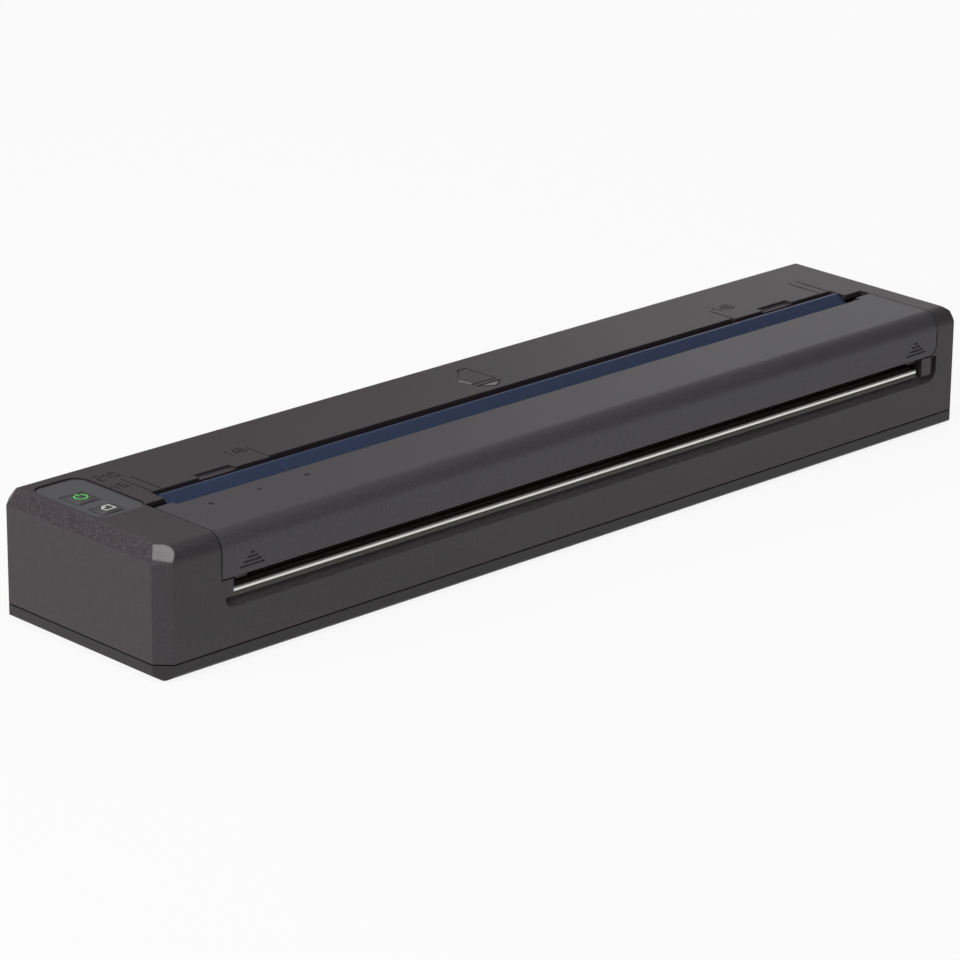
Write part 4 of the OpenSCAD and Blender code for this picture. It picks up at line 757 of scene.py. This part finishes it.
def carve(mesh, cutterMesh):
    # the mesh less the cutter, under its own name
    block = bpy.data.objects.new("block", mesh)
    cutter = bpy.data.objects.new("cutter", cutterMesh)
    for item in (block, cutter):
        bpy.context.scene.collection.objects.link(item)
    cut = block.modifiers.new("cut", "BOOLEAN")
    cut.operation = "DIFFERENCE"
    cut.solver = "EXACT"
    cut.use_self = True
    cut.object = cutter
    ready = block.evaluated_get(bpy.context.evaluated_depsgraph_get())
    carved = bpy.data.meshes.new_from_object(ready)
    bpy.data.objects.remove(block)
    bpy.data.objects.remove(cutter)
    carved.name = mesh.name
    return carved


def cuttersOf(node):
    if node == "top_case":
        return [caseCutter(caseMarks), facetCutter(cornerFacet), cornerCutter(caseMarks)]
    if node == "base_tray":
        return [cornerCutter(caseMarks)]
    if node == "paper_guide":
        return [stripCutter(stripSeams)]
    return []


for node, width in roundedForms.items():
    mesh = ownForm(node, width > 0)
    for cutterMesh in cuttersOf(node):
        mesh = carve(mesh, cutterMesh)
    creaseEdges(mesh)
    roundEdges(addPiece(pieceName(node), mesh, node), width)
print("stage:", len(roundedForms), "rounded forms")


# painted highlight: paler pieces over the sign's lit facets
facetForm = bmesh.new()
low = caseMarks["surface"] - caseMarks["facetSunk"]
high = caseMarks["surface"] + caseMarks["facetProud"]
for outline in caseMarks["facets"]:
    addPrism(facetForm, outline, low, high)
bmesh.ops.recalc_face_normals(facetForm, faces=facetForm.faces)
addPiece("signFacets", meshOf(facetForm, "signFacets"), "top_case", "inlayPlastic", replace=False)
print("stage: paler facets of the sign")


tearStrip = {
    # mm, the bar's middle and half its depth and height as (y, z)
    "middle": (-26.66, 16.47), "half": (0.34, 0.58), "steps": 28,
    # holder under the bar as (y, z)
    "holder": [
        (-27.0, 15.05), (-27.0, 15.75), (-26.94, 15.92), (-26.75, 16.0), (-26.3, 16.0), (-26.3, 15.4),
        (-24.5, 15.4), (-24.5, 15.05),
    ],
    "left": -107.4, "right": 112.0,
}


def barProfile(setup):
    points = []
    for step in range(setup["steps"]):
        turn = 2 * math.pi * step / setup["steps"]
        points.append((
            setup["middle"][0] + setup["half"][0] * math.cos(turn),
            setup["middle"][1] + setup["half"][1] * math.sin(turn),
        ))
    return points


def barMesh(name, profile, left, right):
    form = bmesh.new()
    addAlong(form, profile, left, right)
    bmesh.ops.recalc_face_normals(form, faces=form.faces)
    return meshOf(form, name)


for name, profile, finish in (
    ("tearBarStrip", barProfile(tearStrip), "tearSteel"),
    ("tearBarHolder", tearStrip["holder"], "holderPlastic"),
):
    mesh = barMesh(name, profile, tearStrip["left"], tearStrip["right"])
    creaseEdges(mesh)
    addPiece(name, mesh, "tear_bar", finish)
print("stage: tear strip and its holder")


softButtons = {
    # mm: x of the middle, then the heights of the rim, the crown, the foot and the stem's foot
    "middle": -118.0, "width": 6.2, "rim": 29.52, "crown": 30.0, "low": 27.0, "stem": 2.4, "stemLow": 24.6,
    "steps": 18,  # facets along a side
    "level": 3.2,  # how far the level middle reaches
    "roundness": 0.6,  # the smaller, the steeper the crown's sides
    "rows": {"power_button": (10.6, 6.3), "feed_button": (1.4, 4.7)},  # y of the middle and depth
}


def buttonHeight(setup, u, v):
    # crowned like a cushion: level in the middle, falling to the rim on all four sides
    level = setup["level"]
    fall = (1 - abs(u) ** level) * (1 - abs(v) ** level)
    return setup["rim"] + (setup["crown"] - setup["rim"]) * fall ** setup["roundness"]


def buttonMesh(name, setup, middleY, depth):
    form = bmesh.new()
    steps = setup["steps"]
    half = (setup["width"] / 2, depth / 2)
    grid = []
    for i in range(steps + 1):
        u = 2 * i / steps - 1
        row = []
        for j in range(steps + 1):
            v = 2 * j / steps - 1
            place = (setup["middle"] + u * half[0], middleY + v * half[1], buttonHeight(setup, u, v))
            row.append(form.verts.new(Vector(place) * mm))
        grid.append(row)
    for i in range(steps):
        for j in range(steps):
            form.faces.new((grid[i][j], grid[i + 1][j], grid[i + 1][j + 1], grid[i][j + 1]))
    rim = [grid[i][0] for i in range(steps)] + [grid[steps][j] for j in range(steps)]
    rim += [grid[i][steps] for i in range(steps, 0, -1)] + [grid[0][j] for j in range(steps, 0, -1)]
    foot = [form.verts.new((corner.co.x, corner.co.y, setup["low"] * mm)) for corner in rim]
    for index in range(len(rim)):
        after = (index + 1) % len(rim)
        form.faces.new((rim[index], foot[index], foot[after], rim[after]))
    form.faces.new(foot)
    bmesh.ops.recalc_face_normals(form, faces=form.faces)
    stem = setup["stem"] / 2
    x, y = setup["middle"], middleY
    square = [(x - stem, y - stem), (x + stem, y - stem), (x + stem, y + stem), (x - stem, y + stem)]
    addPrism(form, square, setup["stemLow"], setup["low"])
    return meshOf(form, name)


buttonSigns = {
    # mm
    "thickness": 0.06,
    "sunk": 0.02,  # how far a sign reaches into the button
    "mitre": 0.4,  # the smaller, the longer a sharp corner may get
    "join": 0.001,  # a line whose ends are nearer than this is closed
    # ring and bar; the gap is in degrees on either side of the bar
    "power": {"radius": 1.45, "line": 0.42, "gap": 30, "bar": (0.4, 1.95), "lift": -0.15, "steps": 24},
    "sheet": [(-1.3, -1.1), (1.3, -1.1), (1.3, 1.25), (-0.4, 1.25), (-1.3, 0.35), (-1.3, -1.1)],
    "fold": [(-1.1, 0.3), (-0.35, 0.3), (-0.35, 1.05)], "line": 0.34,
}


def addSign(name, node, lines, width, finish):
    # thin printed lines that lie on the button's crown
    middleY = softButtons["rows"][node][0]
    form = bmesh.new()
    low = softButtons["crown"] - buttonSigns["sunk"]
    for line in lines:
        placed = [Vector((softButtons["middle"] + x, middleY + y)) for x, y in line]
        addBand(form, placed, width, low, low + buttonSigns["thickness"])
    addPiece(name, meshOf(form, name), node, finish, replace=False)


def addBand(form, line, width, low, high):
    # a flat band along a line, mitred at its corners so that no two faces lie on each other
    closed = (line[0] - line[-1]).length < buttonSigns["join"]
    points = line[:-1] if closed else line
    count = len(points)
    rails = []
    for index, point in enumerate(points):
        before = points[index - 1] if closed or index else None
        after = points[(index + 1) % count] if closed or index < count - 1 else None
        ways = []
        if before is not None:
            ways.append((point - before).normalized())
        if after is not None:
            ways.append((after - point).normalized())
        along = sum(ways, Vector((0.0, 0.0))).normalized()
        side = Vector((-along.y, along.x))
        reach = width / 2 / max(buttonSigns["mitre"], side.dot(Vector((-ways[0].y, ways[0].x))))
        rails.append([
            form.verts.new((at.x * mm, at.y * mm, z * mm))
            for at in (point + side * reach, point - side * reach) for z in (low, high)
        ])
    for index in range(count if closed else count - 1):
        a, b = rails[index], rails[(index + 1) % count]
        for first, second in ((1, 3), (3, 2), (2, 0), (0, 1)):
            form.faces.new((a[first], a[second], b[second], b[first]))
    if not closed:
        for end in (rails[0], rails[-1]):
            form.faces.new((end[0], end[1], end[3], end[2]))
    bmesh.ops.recalc_face_normals(form, faces=form.faces)


printPaint = dict(stripPlastic, edgeRadius=0.01, bump=0.05, wear=0.0)
signPaint = {
    "green": {"colour": colour("66E066"), "light": colour("92F592"), "dark": colour("52C454")},
    "white": {"colour": colour("E2E2DE"), "light": colour("F2F2EE"), "dark": colour("C8C8C4")},
}
for signName, signSetup in signPaint.items():
    finishes[signName + "Print"] = mouldedPlastic(signName + "Print", dict(printPaint, **signSetup))
for node, (middleY, depth) in softButtons["rows"].items():
    mesh = buttonMesh(pieceName(node), softButtons, middleY, depth)
    creaseEdges(mesh)
    addPiece(pieceName(node), mesh, node)
power = buttonSigns["power"]
ring = []
for step in range(power["steps"] + 1):
    turn = math.radians(90 + power["gap"] + (360 - 2 * power["gap"]) * step / power["steps"])
    ring.append((power["radius"] * math.cos(turn), power["lift"] + power["radius"] * math.sin(turn)))
bar = [(0.0, power["bar"][0]), (0.0, power["bar"][1])]
addSign("powerSign", "power_button", [ring, bar], power["line"], "greenPrint")
sheet = [buttonSigns["sheet"], buttonSigns["fold"]]
addSign("feedSign", "feed_button", sheet, buttonSigns["line"], "whitePrint")
print("stage: buttons and their signs")


print("stage: done")
